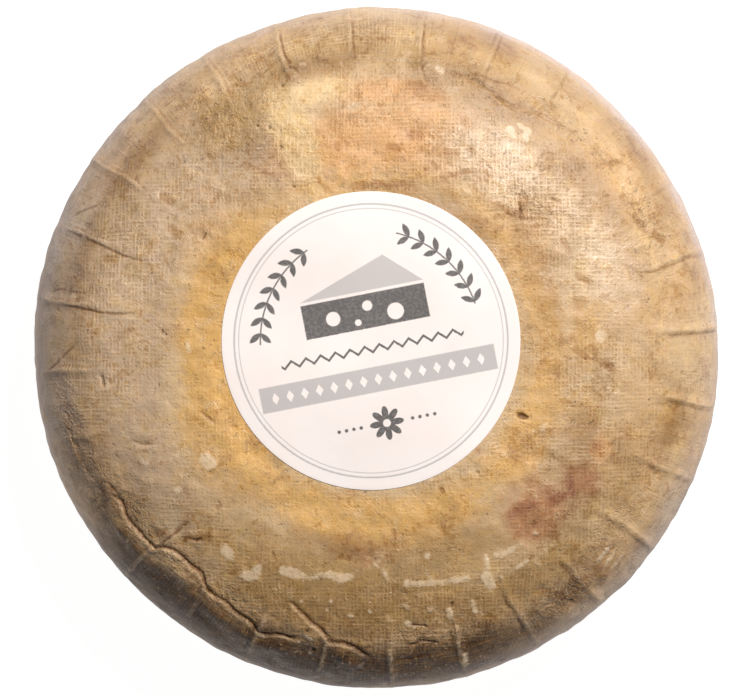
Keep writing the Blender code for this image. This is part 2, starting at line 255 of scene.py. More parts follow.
# Broad fields of colour: angle and share of their middle, half widths in both, strength.
zones = {
    "golden": [
        (185, 0.49, 60, 0.075, 1.0), (268, 0.50, 45, 0.07, 0.9), (330, 0.50, 30, 0.07, 0.7),
        (207, 0.58, 16, 0.05, 0.6), (95, 0.48, 45, 0.06, 0.5), (30, 0.49, 40, 0.06, 0.6),
        (5, 0.60, 12, 0.05, 0.5), (343, 0.63, 8, 0.05, 0.4), (347, 0.865, 4, 0.035, 0.5),
    ],
    "orange": [
        (92, 0.60, 26, 0.09, 0.9), (78, 0.68, 14, 0.06, 0.7), (105, 0.52, 12, 0.05, 0.5),
        (86, 0.74, 14, 0.04, 0.8), (336, 0.705, 3, 0.03, 0.8),
    ],
    "cream": [(111, 0.64, 5, 0.16, 0.95), (104, 0.76, 8, 0.04, 0.8), (20, 0.82, 12, 0.05, 0.5)],
    # pinkish: paler and pinker where the key light's sheen falls, partly the rind's colour and partly
    # painted highlight
    "pinkishAndSheen": [(57, 0.64, 13, 0.09, 0.9), (20, 0.72, 12, 0.08, 0.8), (38, 0.67, 12, 0.08, 0.5)],
    "taupe": [
        (170, 0.74, 45, 0.13, 0.9), (130, 0.74, 22, 0.16, 0.8), (205, 0.76, 25, 0.10, 0.7),
        (222, 0.74, 14, 0.08, 0.5), (120, 0.60, 7, 0.06, 0.7),
    ],
    "olive": [
        (262, 0.72, 34, 0.11, 1.0), (285, 0.64, 25, 0.08, 0.7), (300, 0.80, 26, 0.07, 0.7),
        (240, 0.66, 16, 0.07, 0.6), (122, 0.78, 9, 0.10, 0.8), (62, 0.88, 28, 0.04, 0.35),
        (90, 0.86, 24, 0.05, 0.6), (350, 0.86, 20, 0.06, 0.4), (328, 0.80, 14, 0.08, 0.5),
    ],
    "reddish": [
        (314, 0.66, 9, 0.08, 0.75), (312, 0.57, 5, 0.04, 0.5), (327, 0.70, 5, 0.06, 0.7),
        (268, 0.60, 7, 0.05, 0.4),
    ],
    # dark: the band outside the deep folds, away from the key light, partly the rind's darker colour and
    # partly painted shade
    "dark": [
        (262, 0.927, 36, 0.065, 1.0), (285, 0.922, 22, 0.065, 0.9), (232, 0.932, 22, 0.06, 0.9),
        (304, 0.91, 12, 0.06, 0.5), (208, 0.915, 10, 0.04, 0.4),
    ],
    # pale rims: partly bloom, partly a painted sheen where the rim reflects the white floor
    "hazeAndSheen": [(172, 0.99, 34, 0.03, 1.0), (300, 0.99, 24, 0.03, 0.6), (42, 0.992, 38, 0.02, 1.0)],
    "mauve": [                 # cooler and darker, towards the rim
        (165, 0.93, 26, 0.05, 0.9), (195, 0.92, 14, 0.05, 0.9), (222, 0.975, 16, 0.024, 0.4),
        (275, 0.975, 40, 0.024, 0.55), (325, 0.96, 20, 0.03, 0.5),
    ],
    "shaded": [                # darker places
        (25, 0.52, 20, 0.05, 0.7), (62, 0.455, 26, 0.035, 1.0), (30, 0.79, 20, 0.06, 0.7),
        (70, 0.79, 18, 0.06, 0.9), (103, 0.83, 10, 0.035, 0.9), (125, 0.54, 10, 0.06, 0.6),
        (138, 0.88, 12, 0.04, 0.8), (160, 0.885, 10, 0.03, 0.7), (121, 0.66, 5, 0.05, 0.5),
        (208, 0.88, 6, 0.03, 0.6), (262, 0.575, 14, 0.035, 0.9), (285, 0.54, 8, 0.03, 0.5),
        (320, 0.745, 7, 0.04, 0.8), (333, 0.64, 10, 0.065, 1.0), (346, 0.65, 7, 0.04, 0.5),
        (313, 0.88, 8, 0.05, 0.7), (345, 0.88, 7, 0.03, 0.8), (225, 0.84, 5, 0.03, 0.4),
        (56, 0.95, 44, 0.04, 0.75), (276, 0.88, 6, 0.03, 0.6), (218, 0.83, 12, 0.04, 0.7),
        (10, 0.59, 7, 0.03, 0.6), (12, 0.73, 6, 0.03, 0.6), (132, 0.83, 6, 0.03, 0.5),
        (48, 0.83, 6, 0.03, 0.5), (65, 0.71, 7, 0.04, 0.5), (335, 0.54, 8, 0.04, 0.5),
        (90, 0.92, 14, 0.03, 0.45), (326, 0.94, 8, 0.03, 0.6), (126, 0.95, 12, 0.03, 0.6),
    ],
    "lit": [                   # and lighter ones
        (148, 0.70, 15, 0.09, 0.7), (177, 0.75, 20, 0.08, 1.0), (210, 0.47, 20, 0.03, 0.9),
        (234, 0.71, 12, 0.06, 0.9), (252, 0.885, 6, 0.025, 1.0), (287, 0.70, 6, 0.04, 0.7),
        (55, 0.59, 10, 0.035, 0.6), (0, 0.46, 7, 0.02, 0.5), (228, 0.885, 6, 0.02, 0.8),
        (289, 0.86, 7, 0.04, 0.7), (146, 0.60, 11, 0.04, 0.9), (209, 0.97, 16, 0.02, 0.9),
        (36, 0.86, 9, 0.06, 0.8), (336, 0.87, 5, 0.03, 0.8), (2, 0.84, 8, 0.03, 0.4),
        (122, 0.87, 5, 0.04, 0.8), (122, 0.78, 5, 0.03, 0.6), (324, 0.54, 5, 0.03, 0.6),
        (36, 0.58, 7, 0.03, 0.7), (288, 0.69, 6, 0.05, 0.9), (229, 0.73, 6, 0.04, 0.7),
        (240, 0.66, 8, 0.04, 0.7), (149, 0.92, 9, 0.03, 0.6), (0, 0.50, 12, 0.02, 0.5),
    ],
    "crisp": [                 # where the cloth's print is sharp and dark
        (268, 0.83, 38, 0.13, 1.0), (42, 0.66, 18, 0.10, 0.8), (95, 0.92, 16, 0.05, 0.7),
        (192, 0.87, 10, 0.06, 0.8), (340, 0.72, 24, 0.12, 0.7), (115, 0.62, 12, 0.12, 0.7),
        (75, 0.60, 20, 0.10, 0.6), (148, 0.75, 14, 0.12, 0.5), (165, 0.80, 22, 0.10, 0.8),
    ],
    "plain": [                 # where it hardly shows
        (58, 0.92, 18, 0.04, 0.9), (12, 0.92, 14, 0.04, 0.4), (325, 0.92, 14, 0.04, 0.4),
        (170, 0.94, 22, 0.04, 0.8), (290, 0.58, 10, 0.06, 0.6), (236, 0.60, 10, 0.05, 0.6),
        (105, 0.68, 6, 0.10, 0.6), (150, 0.58, 9, 0.05, 0.5), (318, 0.60, 8, 0.07, 0.6),
        (350, 0.74, 8, 0.06, 0.5), (200, 0.66, 9, 0.06, 0.5), (190, 0.48, 40, 0.05, 0.3),
        (268, 0.49, 40, 0.05, 0.5),
    ],
    "rough": [                 # where the rind is crumbling
        (307, 0.90, 6, 0.035, 1.0), (322, 0.86, 8, 0.04, 0.6), (48, 0.86, 12, 0.03, 0.8),
        (75, 0.83, 9, 0.03, 0.6), (25, 0.87, 8, 0.04, 0.8), (44, 0.60, 8, 0.05, 0.7),
        (206, 0.90, 7, 0.05, 1.0), (193, 0.91, 7, 0.03, 0.9), (262, 0.88, 10, 0.04, 0.7),
        (280, 0.86, 12, 0.06, 0.6), (120, 0.80, 12, 0.12, 0.5), (220, 0.85, 12, 0.05, 0.8),
        (240, 0.84, 8, 0.04, 0.6),
    ],
}


def smoothStep(low, high, value):
    # 0 below low, 1 above high, and an even S between them.
    t = np.clip((value - low) / (high - low), 0.0, 1.0)
    return t * t * (3.0 - 2.0 * t)


def shoulderHeight(share):
    # A superellipse over the waist: height rises as (1 - share^topPower)^(1/shoulderPower).
    rise = np.clip(1.0 - share ** wheel["topPower"], 0.0, 1.0) ** (1.0 / wheel["shoulderPower"])
    return wheel["waist"] + (wheel["height"] - wheel["waist"]) * rise


def topWave(x, y):
    # Low rises and hollows of the top: a sum of a few slanted sine waves.
    total = np.zeros_like(x)
    for height, length, direction, shift in topWaves:
        turn = math.radians(direction)
        along = x * math.cos(turn) + y * math.sin(turn)
        total += height * np.sin(2.0 * math.pi * along / length + shift)
    return total


def rollingNoise(points, wavelength, seed, waves=28):
    # Even random lumps: a sum of sine waves in random directions, about 1 high.
    rng = np.random.default_rng(seed)
    directions = rng.normal(size=(waves, 3))
    directions /= np.linalg.norm(directions, axis=1, keepdims=True)
    lengths = wavelength * rng.uniform(0.7, 1.5, waves)
    shifts = rng.uniform(0.0, 2.0 * math.pi, waves)
    total = np.zeros(points.shape[:-1])
    for direction, length, shift in zip(directions, lengths, shifts):
        total += np.sin(points @ direction * (2.0 * math.pi / length) + shift)
    return total / math.sqrt(waves / 2.0)


def lumpy(points, kind):
    # One kind of unevenness: its height times rolling noise of its wavelength.
    height, wavelength, seed = unevenness[kind]
    return height * rollingNoise(points, wavelength, seed)


def profileTable():
    # The turned profile from the middle of the top to that of the base, as distance over it, radius
    # and height, and how far along it the widest line and the base's edge are. The top's points are
    # even in the share, and near the widest line in the superellipse's angle.
    r, power, count = wheel["radius"], wheel["topPower"], 900
    switch = 0.95
    quarter = np.linspace(math.asin(switch ** (power / 2.0)), math.pi / 2.0, count)[1:]
    shares = np.concatenate([np.linspace(0.0, switch, count), np.sin(quarter) ** (2.0 / power)])
    topR, topZ = r * shares, shoulderHeight(shares)
    turn = np.linspace(0.0, math.pi / 2.0, count)[1:]
    out = np.clip(np.cos(turn), 0.0, 1.0) ** (2.0 / wheel["footPower"])
    down = np.sin(turn) ** (2.0 / wheel["footPower"])
    footR = wheel["baseRadius"] + (r - wheel["baseRadius"]) * out
    footZ = wheel["waist"] * (1.0 - down)
    radius = np.concatenate([topR, footR, [0.0]])
    height = np.concatenate([topZ, footZ, [0.0]])
    arc = np.concatenate([[0.0], np.cumsum(np.hypot(np.diff(radius), np.diff(height)))])
    return arc, radius, height, arc[len(topR) - 1], arc[-2]


tableArc, tableRadius, tableHeight, waistArc, baseArc = profileTable()
endArc = tableArc[-1]


def arcOfShare(share):
    # Distance over the surface from the middle of the top to a share of the radius.
    top = tableArc <= waistArc
    return np.interp(share, tableRadius[top] / wheel["radius"], tableArc[top])


def fromPhoto(points):
    # Pixels to places on the cloth laid over the top: same angle, distance measured over the surface.
    px = np.array(points, float)
    step = wheel["radius"] / photo["wheelPixels"]
    x, y = (px[:, 0] - photo["wheelX"]) * step, (photo["wheelY"] - px[:, 1]) * step
    seen = np.clip(np.hypot(x, y) / wheel["radius"], 0.0, 1.0)
    rise = (shoulderHeight(seen) - wheel["waist"]) / (wheel["height"] - wheel["waist"])
    share = seen / (1.0 + photo["nearness"] * rise)
    arc, angle = arcOfShare(share), np.arctan2(y, x)
    return np.stack([arc * np.cos(angle), arc * np.sin(angle)], axis=1)


def pathDistance(x, y, path):
    # Distance to a path of straight pieces, its side (above 0 is the right) and how far along it is.
    if len(path) == 1:
        away = np.hypot(x - path[0, 0], y - path[0, 1])
        return away, np.ones_like(away), np.full_like(away, 0.5)
    best = np.full(x.shape, 1e9)
    side, along = np.zeros_like(x), np.zeros_like(x)
    lengths = np.hypot(*np.diff(path, axis=0).T)
    done = 0.0
    for start, end, length in zip(path[:-1], path[1:], lengths):
        dx, dy = (end - start) / length
        t = np.clip((x - start[0]) * dx + (y - start[1]) * dy, 0.0, length)
        offX, offY = x - start[0] - t * dx, y - start[1] - t * dy
        away = np.hypot(offX, offY)
        nearer = away < best
        best = np.where(nearer, away, best)
        side = np.where(nearer, np.sign(offX * dy - offY * dx), side)
        along = np.where(nearer, (done + t) / lengths.sum(), along)
        done += length
    return best, side, along


def strokeField(x, y, strokes):
    # How deep inside the nearest stroke a point is, in millimetres: half width less distance.
    field = np.full(x.shape, farFromMark)
    for points, halfWidth in strokes:
        away = pathDistance(x, y, fromPhoto(points))[0]
        field = np.maximum(field, halfWidth - 1000.0 * away)
    return field


def zoneField(angle, share, ovals):
    # The strongest of some soft ovals: a bell curve of the distance in their own half widths.
    field = np.zeros_like(share)
    for middle, middleShare, halfAngle, halfShare, strength in ovals:
        u = ((angle - middle + 180.0) % 360.0 - 180.0) / halfAngle
        v = (share - middleShare) / halfShare
        field = np.maximum(field, strength * np.exp(-0.7 * (u * u + v * v) ** 1.3))
    return field


def bell(value):
    # 1 at zero, falling off evenly to both sides.
    return np.exp(-(value ** 2))


def foldProfile(offset, depth, broken):
    # A groove with a broken lip outside it: one bell curve down and a wider one up.
    groove = bell((offset - fold["grooveOffset"]) / fold["grooveWidth"])
    lip = bell((offset - fold["lipOffset"]) / fold["lipWidth"])
    return depth * (fold["lipHeight"] * broken * lip - fold["grooveDepth"] * groove)


def creaseProfile(offset, away, halfWidth):
    # The same for a crease, with both about as strong, and nothing far from its line.
    groove = bell(offset / (creaseShape["grooveWidth"] * halfWidth))
    lip = bell((offset - creaseShape["lipOffset"] * halfWidth) / (creaseShape["lipWidth"] * halfWidth))
    lip = lip * bell((away / creaseShape["lipReach"]) ** 2)
    return creaseShape["strength"] * (lip - groove) * (away < creaseShape["reach"])


def ribAcross(angle, share):
    # Distance across to the nearest rib, above 0 anticlockwise of it, and how strong that rib is.
    pitch = 360.0 / ribs["count"]
    index = np.arange(ribs["count"])
    even = ribs["start"] + index * pitch
    angles = even + ribs["drift"] * np.cos(np.radians(even - ribs["driftTowards"]))
    strength = 0.85 + 0.15 * np.cos(2.3 * index)
    strength[ribs["faint"]] = ribs["faintStrength"]
    drift = ribs["drift"] * np.cos(np.radians(angle - ribs["driftTowards"]))
    nearest = np.round((angle - ribs["start"] - drift) / pitch).astype(int) % ribs["count"]
    aside = (angle - angles[nearest] + 180.0) % 360.0 - 180.0
    stray = ribs["wobble"] * np.sin(26.0 * share + 2.4 * nearest) * np.cos(9.0 * share + 1.3 * nearest)
    return np.radians(aside) * share * wheel["radius"] + stray, strength[nearest]


def ribAt(angle, share, above, height):
    # The nearest rib: distance across to it and its crest's height, which fades in over shoulder and
    # foot and is low at the waist.
    across, strength = ribAcross(angle, share)
    fade = np.where(above, smoothStep(*ribs["topShares"], share), smoothStep(*ribs["footShares"], share))
    fromWaist = np.abs(height - wheel["waist"]) / wheel["waist"]
    fade = fade * (ribs["atWaist"] + (1.0 - ribs["atWaist"]) * smoothStep(0.05, 0.6, fromWaist))
    return across, ribs["height"] * strength * fade


def rowsAtFold(angle, share, above):
    # Shares outside the calm middle drawn in or out, so that foldMeanShare comes to lie on the fold line
    # and the widest line stays where it is.
    angles, shares, depths = np.array(foldLine).T
    foldShare = np.interp(angle, angles, shares, period=360.0)
    foldDepth = np.interp(angle, angles, depths, period=360.0)
    calm, mean = wheel["calmShare"], wheel["foldMeanShare"]
    inner = calm + (share - calm) * (foldShare - calm) / (mean - calm)
    outer = 1.0 - (1.0 - share) * (1.0 - foldShare) / (1.0 - mean)
    moved = np.where(above & (share > calm), np.where(share < mean, inner, outer), share)
    return moved, foldShare, foldDepth


def profileNormal(share, height, above):
    # The profile's normal, as its outward and upward parts: the slopes of the two superellipses.
    r, waist, base = wheel["radius"], wheel["waist"], wheel["baseRadius"]
    lift = np.clip((height - waist) / (wheel["height"] - waist), 0.0, 1.0)
    reach = np.clip((share * r - base) / (r - base), 0.0, 1.0)
    sink = np.clip(1.0 - height / waist, 0.0, 1.0)
    topP, shoulderP, footP = wheel["topPower"], wheel["shoulderPower"], wheel["footPower"]
    topOut = topP * share ** (topP - 1.0) / r
    topUp = shoulderP * lift ** (shoulderP - 1.0) / (wheel["height"] - waist)
    footOut = footP * reach ** (footP - 1.0) / (r - base)
    footUp = -footP * sink ** (footP - 1.0) / waist
    out, up = np.where(above, topOut, footOut), np.where(above, topUp, footUp)
    length = np.maximum(np.hypot(out, up), 1e-9)
    return out / length, up / length


def fadedEnds(along, startFade, endFade):
    # 1 along the middle of a path and 0 at both its ends.
    return np.minimum(smoothStep(0.0, startFade, along), 1.0 - smoothStep(1.0 - endFade, 1.0, along))


def nearerLine(line, away, side, dark):
    # At every point the distance, side and darkness of the nearer of two lines.
    nearer = away < line[0]
    return [np.where(nearer, new, old) for new, old in zip((away, side, dark), line)]


def clothLines(angle, share, flat, fromFold, foldDepth, waver, broken):
    # Relief of the fold line, the deep folds and the creases, added up. With it, for the nearest of
    # them, the distance and side in millimetres and how dark its painted shade is.
    deep = smoothStep(fold["deepFrom"] - 4, fold["deepFrom"], angle % 360.0)
    deep = deep * (1.0 - smoothStep(fold["deepTo"], fold["deepTo"] + 4, angle % 360.0))
    shallow = foldDepth * (1.0 - deep)
    relief = foldProfile(fromFold + waver, shallow, broken)
    lineSide = 1000.0 * (fromFold + waver)
    line = [np.abs(lineSide) + 8.0 * deep, lineSide, 0.75 * shallow]
    parted = 1.0 - 0.8 * bell(ribAcross(angle, share)[0] / fold["partedBy"])
    for path in deepFolds:
        away, side, along = pathDistance(*flat, fromPhoto(path))
        ends = fadedEnds(along, 0.06, 0.08)
        offset = away * side + waver
        swollen = bell((offset - fold["pillowOffset"]) / fold["pillowWidth"])
        relief = relief + foldProfile(offset, ends, broken)
        relief = relief + fold["pillowHeight"] * ends * swollen * parted
        line = nearerLine(line, 1000.0 * away, 1000.0 * offset, ends)
    for path, halfWidth, depth, dark in creases:
        away, side, along = pathDistance(*flat, fromPhoto(path))
        ends = fadedEnds(along, 0.25, 0.25) * 0.8 + 0.2
        offset = 1000.0 * (away * side + 0.6 * waver)
        relief = relief + 0.001 * depth * ends * broken * creaseProfile(offset, away, halfWidth)
        line = nearerLine(line, 1000.0 * away, offset, dark * ends)
    return relief, line


def surfaceAt(angle, share, height, above):
    # The uneven cheese at angles (degrees) and places on its profile. Each point is pushed out along
    # the profile's normal by all its reliefs added up. Also gives the fields that are painted on it, and
    # the points' places on the flat cloth.
    r, turn = wheel["radius"], np.radians(angle)
    share, foldShare, foldDepth = rowsAtFold(angle, share, above)
    height = np.where(above, shoulderHeight(share), height)
    normalOut, normalUp = profileNormal(share, height, above)
    arc = np.where(above, arcOfShare(share), waistArc)
    flat = arc * np.cos(turn), arc * np.sin(turn)
    bare = np.stack([share * r * np.cos(turn), share * r * np.sin(turn), height], axis=-1)
    waver = lumpy(np.stack([*flat, np.zeros_like(arc)], axis=-1), "waver")
    broken = np.clip(0.75 + lumpy(bare, "broken"), 0.15, 1.3)

    fields = {}
    for name, strokes in marks.items():
        fields[name] = np.where(above, strokeField(*flat, strokes), farFromMark)
    fromFold = (share - foldShare) * r
    lineRelief, line = clothLines(angle, share, flat, fromFold, foldDepth, waver, broken)

    grounded = smoothStep(0.0, 0.010, height)
    fromLabel = np.hypot(bare[..., 0] - label["centre"][0], bare[..., 1] - label["centre"][1])
    bareRind = smoothStep(label["radius"] - 0.001, label["radius"] + 0.004, fromLabel)
    bareRind = np.where(above, bareRind, 1.0)
    aroundWaist = smoothStep(0.0, 0.35, np.abs(height - wheel["waist"]) / wheel["waist"])
    lumps = lumpy(bare, "large") * (0.35 + 0.65 * aroundWaist)
    lumps = lumps + bareRind * (lumpy(bare, "middle") + lumpy(bare, "small"))
    across, crest = ribAt(angle, share, above, height)
    ribBroken = 0.4 + 0.7 * broken
    relief = crest * np.exp(-2.0 * (across / ribs["halfWidth"]) ** 2) * ribBroken
    relief = relief + np.where(above, lineRelief, 0.0) + lumps * grounded
    for name, (rise, slope) in markRelief.items():
        relief = relief + rise * smoothStep(-slope, slope, fields[name])

    out = share * r + relief * normalOut
    height = height + relief * normalUp
    for waves, amount, crestAngle in swells:
        out = out * (1.0 + amount * share ** 2 * np.cos(np.radians(waves * (angle - crestAngle))))
    x, y = out * np.cos(turn), out * np.sin(turn)
    flatness = np.clip(1.0 - share ** wheel["topPower"], 0.0, 1.0)
    height = np.maximum(height + np.where(above, topWave(x, y) * flatness, 0.0), 0.0)

    lineNear, lineSide, lineDark = line
    fields["lineNear"] = np.where(above, lineNear, 9.0)
    fields["lineSide"] = lineSide
    fields["lineDark"] = lineDark
    fields["ribSide"] = 1000.0 * across
    fields["ribShows"] = 1000.0 * ribAt(angle, share, above, height)[1] * ribBroken
    fields["fromFold"] = np.where(above, 1000.0 * fromFold, 30.0)
    fields["share"] = share
    fields["above"] = above * 1.0
    onward = np.where(above, share, 2.0 - share)    # the share, counted on past the widest line
    for name, ovals in zones.items():
        fields[name] = zoneField(angle, onward, ovals)
    # The dark band outside the deep folds: partly the rind's darker colour, partly painted shade.
    band = smoothStep(*darkRindAndShade["starts"], (onward - foldShare) * r)
    band = band * (1.0 - smoothStep(*darkRindAndShade["ends"], onward))
    band = band * smoothStep(*darkRindAndShade["rises"], angle) * (1.0 - smoothStep(*darkRindAndShade["falls"], angle))
    fields["dark"] = np.maximum(fields["dark"], darkRindAndShade["strength"] * band)
    return np.stack([x, y, height], axis=-1), fields, flat


def columnAngles(count):
    # Angles of the columns: evenly spaced, but closer together between denseFrom and denseTo.
    fine = np.linspace(0.0, 360.0, 3601)
    soft = smoothStep(wheel["denseFrom"] - 12, wheel["denseFrom"], fine)
    soft = soft * (1.0 - smoothStep(wheel["denseTo"], wheel["denseTo"] + 12, fine))
    weight = np.cumsum(1.0 + (wheel["denser"] - 1.0) * soft)
    weight = (weight - weight[0]) / (weight[-1] - weight[0])
    return np.interp(np.arange(count) / count, weight, fine)


def rowArcs():
    # Places of the rows along the profile: close together over shoulder and side, sparse elsewhere.
    labelEdge = arcOfShare(0.40)
    shoulder = arcOfShare(0.76)
    rim = arcOfShare(0.97)
    spans = [
        (0.0, labelEdge, 12), (labelEdge, shoulder, 33), (shoulder, rim, 44), (rim, waistArc, 16),
        (waistArc, baseArc, 26), (baseArc, endArc, 5),
    ]
    places = [np.linspace(a, b, n + 1)[:-1] for a, b, n in spans]
    return np.concatenate(places)[1:]


def gridMesh(name, points, topPoint, basePoint):
    # A closed surface from rings of points (rows, columns, xyz), with a point at each end.
    rows, columns = points.shape[:2]
    corners = np.concatenate([points.reshape(-1, 3), [topPoint, basePoint]])
    ring = np.arange(columns)
    nextRing = (ring + 1) % columns
    starts = (np.arange(rows - 1) * columns)[:, None]
    quads = np.stack([starts + ring, starts + columns + ring, starts + columns + nextRing,
                      starts + nextRing], axis=-1).reshape(-1, 4)
    top, base = rows * columns, rows * columns + 1
    last = (rows - 1) * columns
    topFan = np.stack([np.full(columns, top), ring, nextRing], axis=-1)
    baseFan = np.stack([last + ring, np.full(columns, base), last + nextRing], axis=-1)
    loops = np.concatenate([quads.ravel(), topFan.ravel(), baseFan.ravel()])
    sizes = np.concatenate([np.full(len(quads), 4), np.full(2 * columns, 3)])
    mesh = bpy.data.meshes.new(name)
    mesh.vertices.add(len(corners))
    mesh.vertices.foreach_set("co", corners.astype(np.float32).ravel())
    mesh.loops.add(len(loops))
    mesh.loops.foreach_set("vertex_index", loops.astype(np.int32))
    mesh.polygons.add(len(sizes))
    firstLoops = np.concatenate([[0], np.cumsum(sizes)[:-1]])
    mesh.polygons.foreach_set("loop_start", firstLoops.astype(np.int32))
    mesh.update(calc_edges=True)
    mesh.validate()
    mesh.shade_smooth()
    return mesh, loops


def cornerGrid(rows, columns):
    # Row and column of every face corner, in gridMesh's order: the quads, then the two fans, whose ends
    # count as rows -1 and rows. The last column is counted on past the seam.
    ring = np.arange(columns, dtype=float)
    row = np.arange(rows - 1, dtype=float)[:, None]
    nothing = np.zeros((rows - 1, columns))
    quadRow = np.stack([row + nothing, row + 1 + nothing, row + 1 + nothing, row + nothing], axis=-1)
    quadCol = np.stack([ring + nothing, ring + nothing, ring + 1 + nothing, ring + 1 + nothing], axis=-1)
    flat = np.zeros(columns)
    topRow = np.stack([flat - 1, flat, flat], axis=-1)
    topCol = np.stack([ring + 0.5, ring, ring + 1], axis=-1)
    baseRow = np.stack([flat + rows - 1, flat + rows, flat + rows - 1], axis=-1)
    baseCol = np.stack([ring, ring + 0.5, ring + 1], axis=-1)
    return (np.concatenate([quadRow.ravel(), topRow.ravel(), baseRow.ravel()]),
            np.concatenate([quadCol.ravel(), topCol.ravel(), baseCol.ravel()]))


def addUv(mesh, name, u, v):
    # A UV map from one value of u and v for every face corner.
    layer = mesh.uv_layers.new(name=name)
    layer.data.foreach_set("uv", np.stack([u, v], axis=-1).astype(np.float32).ravel())


def addField(mesh, name, values):
    # An attribute with one value for every point, which the material reads by name.
    layer = mesh.attributes.new(name, "FLOAT", "POINT")
    layer.data.foreach_set("value", values.astype(np.float32).ravel())


def addObject(name, data):
    # An object of a mesh, lamp or camera, in the scene.
    made = bpy.data.objects.new(name, data)
    bpy.context.scene.collection.objects.link(made)
    return made


def addPiece(name, mesh):
    # A closed piece, left at the origin and unturned, because its place is in its mesh.
    print(f"{name}: {len(mesh.vertices)} points, {2 * len(mesh.vertices) - 4} triangles")
    return addObject(name, mesh)


bakeLayout = {                 # the baked picture: discs for the upper part and for the rest
    "bigDisc": 0.365,
    "smallDisc": 0.205,
    "margin": 0.006,
    "split": 1.08,             # where they part, in distances from the middle to the widest line
}


def makeWheel():
    # The cheese: surfaceAt on a grid of rows along the profile and columns round it, closed at both
    # ends, with its fields and the flat cloth as UV maps.
    columns = wheel["columns"]
    arcs = rowArcs()
    angles = columnAngles(columns)
    angle, arc = np.meshgrid(angles, arcs)
    share = np.interp(arc, tableArc, tableRadius) / wheel["radius"]
    height = np.interp(arc, tableArc, tableHeight)
    points, fields, flat = surfaceAt(angle, share, height, arc <= waistArc)
    low, high = points.reshape(-1, 3).min(axis=0), points.reshape(-1, 3).max(axis=0)
    boxLow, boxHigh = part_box("wheel")
    shift = np.array([(boxLow[i] + boxHigh[i] - low[i] - high[i]) / 2.0 for i in (0, 1)] + [0.0])
    points = points + shift    # its middle over the solid's
    topPoint = np.array([shift[0], shift[1], points[0, :, 2].mean()])
    mesh, loops = gridMesh("cheese", points, topPoint, shift)

    for name, values in fields.items():
        ends = [values[0].mean(), values[-1].mean()]
        addField(mesh, name, np.concatenate([values.ravel(), ends]))

    # The cloth lies flat over the top ("cloth"), round the side ("band") and flat beneath ("under").
    row, column = cornerGrid(len(arcs), columns)
    cornerArc = np.interp(row, np.arange(-1, len(arcs) + 1), np.concatenate([[0.0], arcs, [endArc]]))
    cornerAngle = np.interp(column, np.arange(columns + 1), np.concatenate([angles, [360.0]]))
    turn = np.radians(cornerAngle)
    flatArc = np.concatenate([np.hypot(*flat).ravel(), [0.0, waistArc]])[loops]
    aboveArc = np.where(cornerArc <= waistArc, flatArc, cornerArc)
    addUv(mesh, "cloth", aboveArc * np.cos(turn), aboveArc * np.sin(turn))
    threads = round(2.0 * math.pi * wheel["radius"] / cloth["pitch"])
    addUv(mesh, "band", turn * threads * cloth["pitch"] / (2.0 * math.pi), aboveArc)
    underArc = endArc - cornerArc
    addUv(mesh, "under", underArc * np.cos(turn), underArc * np.sin(turn))

    # The baked picture's layout: a large disc for top and upper side, a smaller one for the rest.
    quadRow = row[:len(loops) - 6 * columns].reshape(-1, 4).min(axis=1)
    faceRow = np.concatenate([np.repeat(quadRow, 4), np.full(3 * columns, -1.0),
                              np.full(3 * columns, len(arcs) - 1.0)])
    splitRow = int(np.searchsorted(arcs, waistArc * bakeLayout["split"]))
    splitArc = arcs[splitRow]
    upper = faceRow < splitRow
    big = bakeLayout["bigDisc"] * cornerArc / splitArc
    small = bakeLayout["smallDisc"] * underArc / (endArc - splitArc)
    bigMiddle = bakeLayout["bigDisc"] + bakeLayout["margin"]
    smallMiddle = 1 - bakeLayout["smallDisc"] - bakeLayout["margin"]
    bakeU = np.where(upper, bigMiddle + big * np.cos(turn), smallMiddle + small * np.cos(turn))
    bakeV = np.where(upper, bigMiddle + big * np.sin(turn), smallMiddle - small * np.sin(turn))
    addUv(mesh, "OFBake", bakeU, bakeV)
    return addPiece("cheese", mesh), shift


label = {
    "radius": 0.050,
    "centre": (-0.0018, 0.0025),
    "thickness": 0.00013,
    "gap": 0.00003,
    "rings": 44,
    "steps": 200,
    "turn": 11.0,              # degrees that the print is turned, as it was stuck on by hand
    "edgeLift": 0.00002,
    "edgeFrom": 0.997,         # share of the radius where its edge begins to round off
    "edgeLevels": (0.85, 0.4),     # heights of the edge's rings, as shares of the thickness
}


def makeLabel(shift):
    # A sheet on a polar grid: the rind's height under each point, a hair above it, edges a little up.
    # The rings run out over its upper side, down the edge and back in beneath.
    steps, rings = label["steps"], label["rings"]
    spoke = np.linspace(0.0, 2.0 * math.pi, steps, endpoint=False)
    reach = np.concatenate([np.linspace(1.0 / rings, label["edgeFrom"], rings), [1.0, 1.0],
                            np.linspace(1.0, 1.0 / rings, rings)])
    level = np.concatenate([np.ones(rings), label["edgeLevels"], np.zeros(rings)])
    turn, out = np.meshgrid(spoke, reach)
    x = label["centre"][0] + out * label["radius"] * np.cos(turn)
    y = label["centre"][1] + out * label["radius"] * np.sin(turn)
    share = np.hypot(x, y) / wheel["radius"]
    angle = np.degrees(np.arctan2(y, x))
    rindHeight = surfaceAt(angle, share, shoulderHeight(share), np.ones_like(share, bool))[0][..., 2]
    lift = label["edgeLift"] * smoothStep(0.93, 1.0, out) * (0.5 + 0.5 * np.sin(3 * turn + 1.0))
    z = rindHeight + label["gap"] + lift + level[:, None] * label["thickness"]
    points = np.stack([x, y, z], axis=-1) + shift
    mesh, loops = gridMesh("labelSheet", points, points[0].mean(axis=0), points[-1].mean(axis=0))
    local = np.stack([out * np.cos(turn), out * np.sin(turn)], axis=-1).reshape(-1, 2)
    local = np.concatenate([local, [[0.0, 0.0], [0.0, 0.0]]])[loops]
    back = math.radians(label["turn"])
    addUv(mesh, "print", local[:, 0] * math.cos(back) + local[:, 1] * math.sin(back),
          local[:, 1] * math.cos(back) - local[:, 0] * math.sin(back))
    return addPiece("labelSheet", mesh)


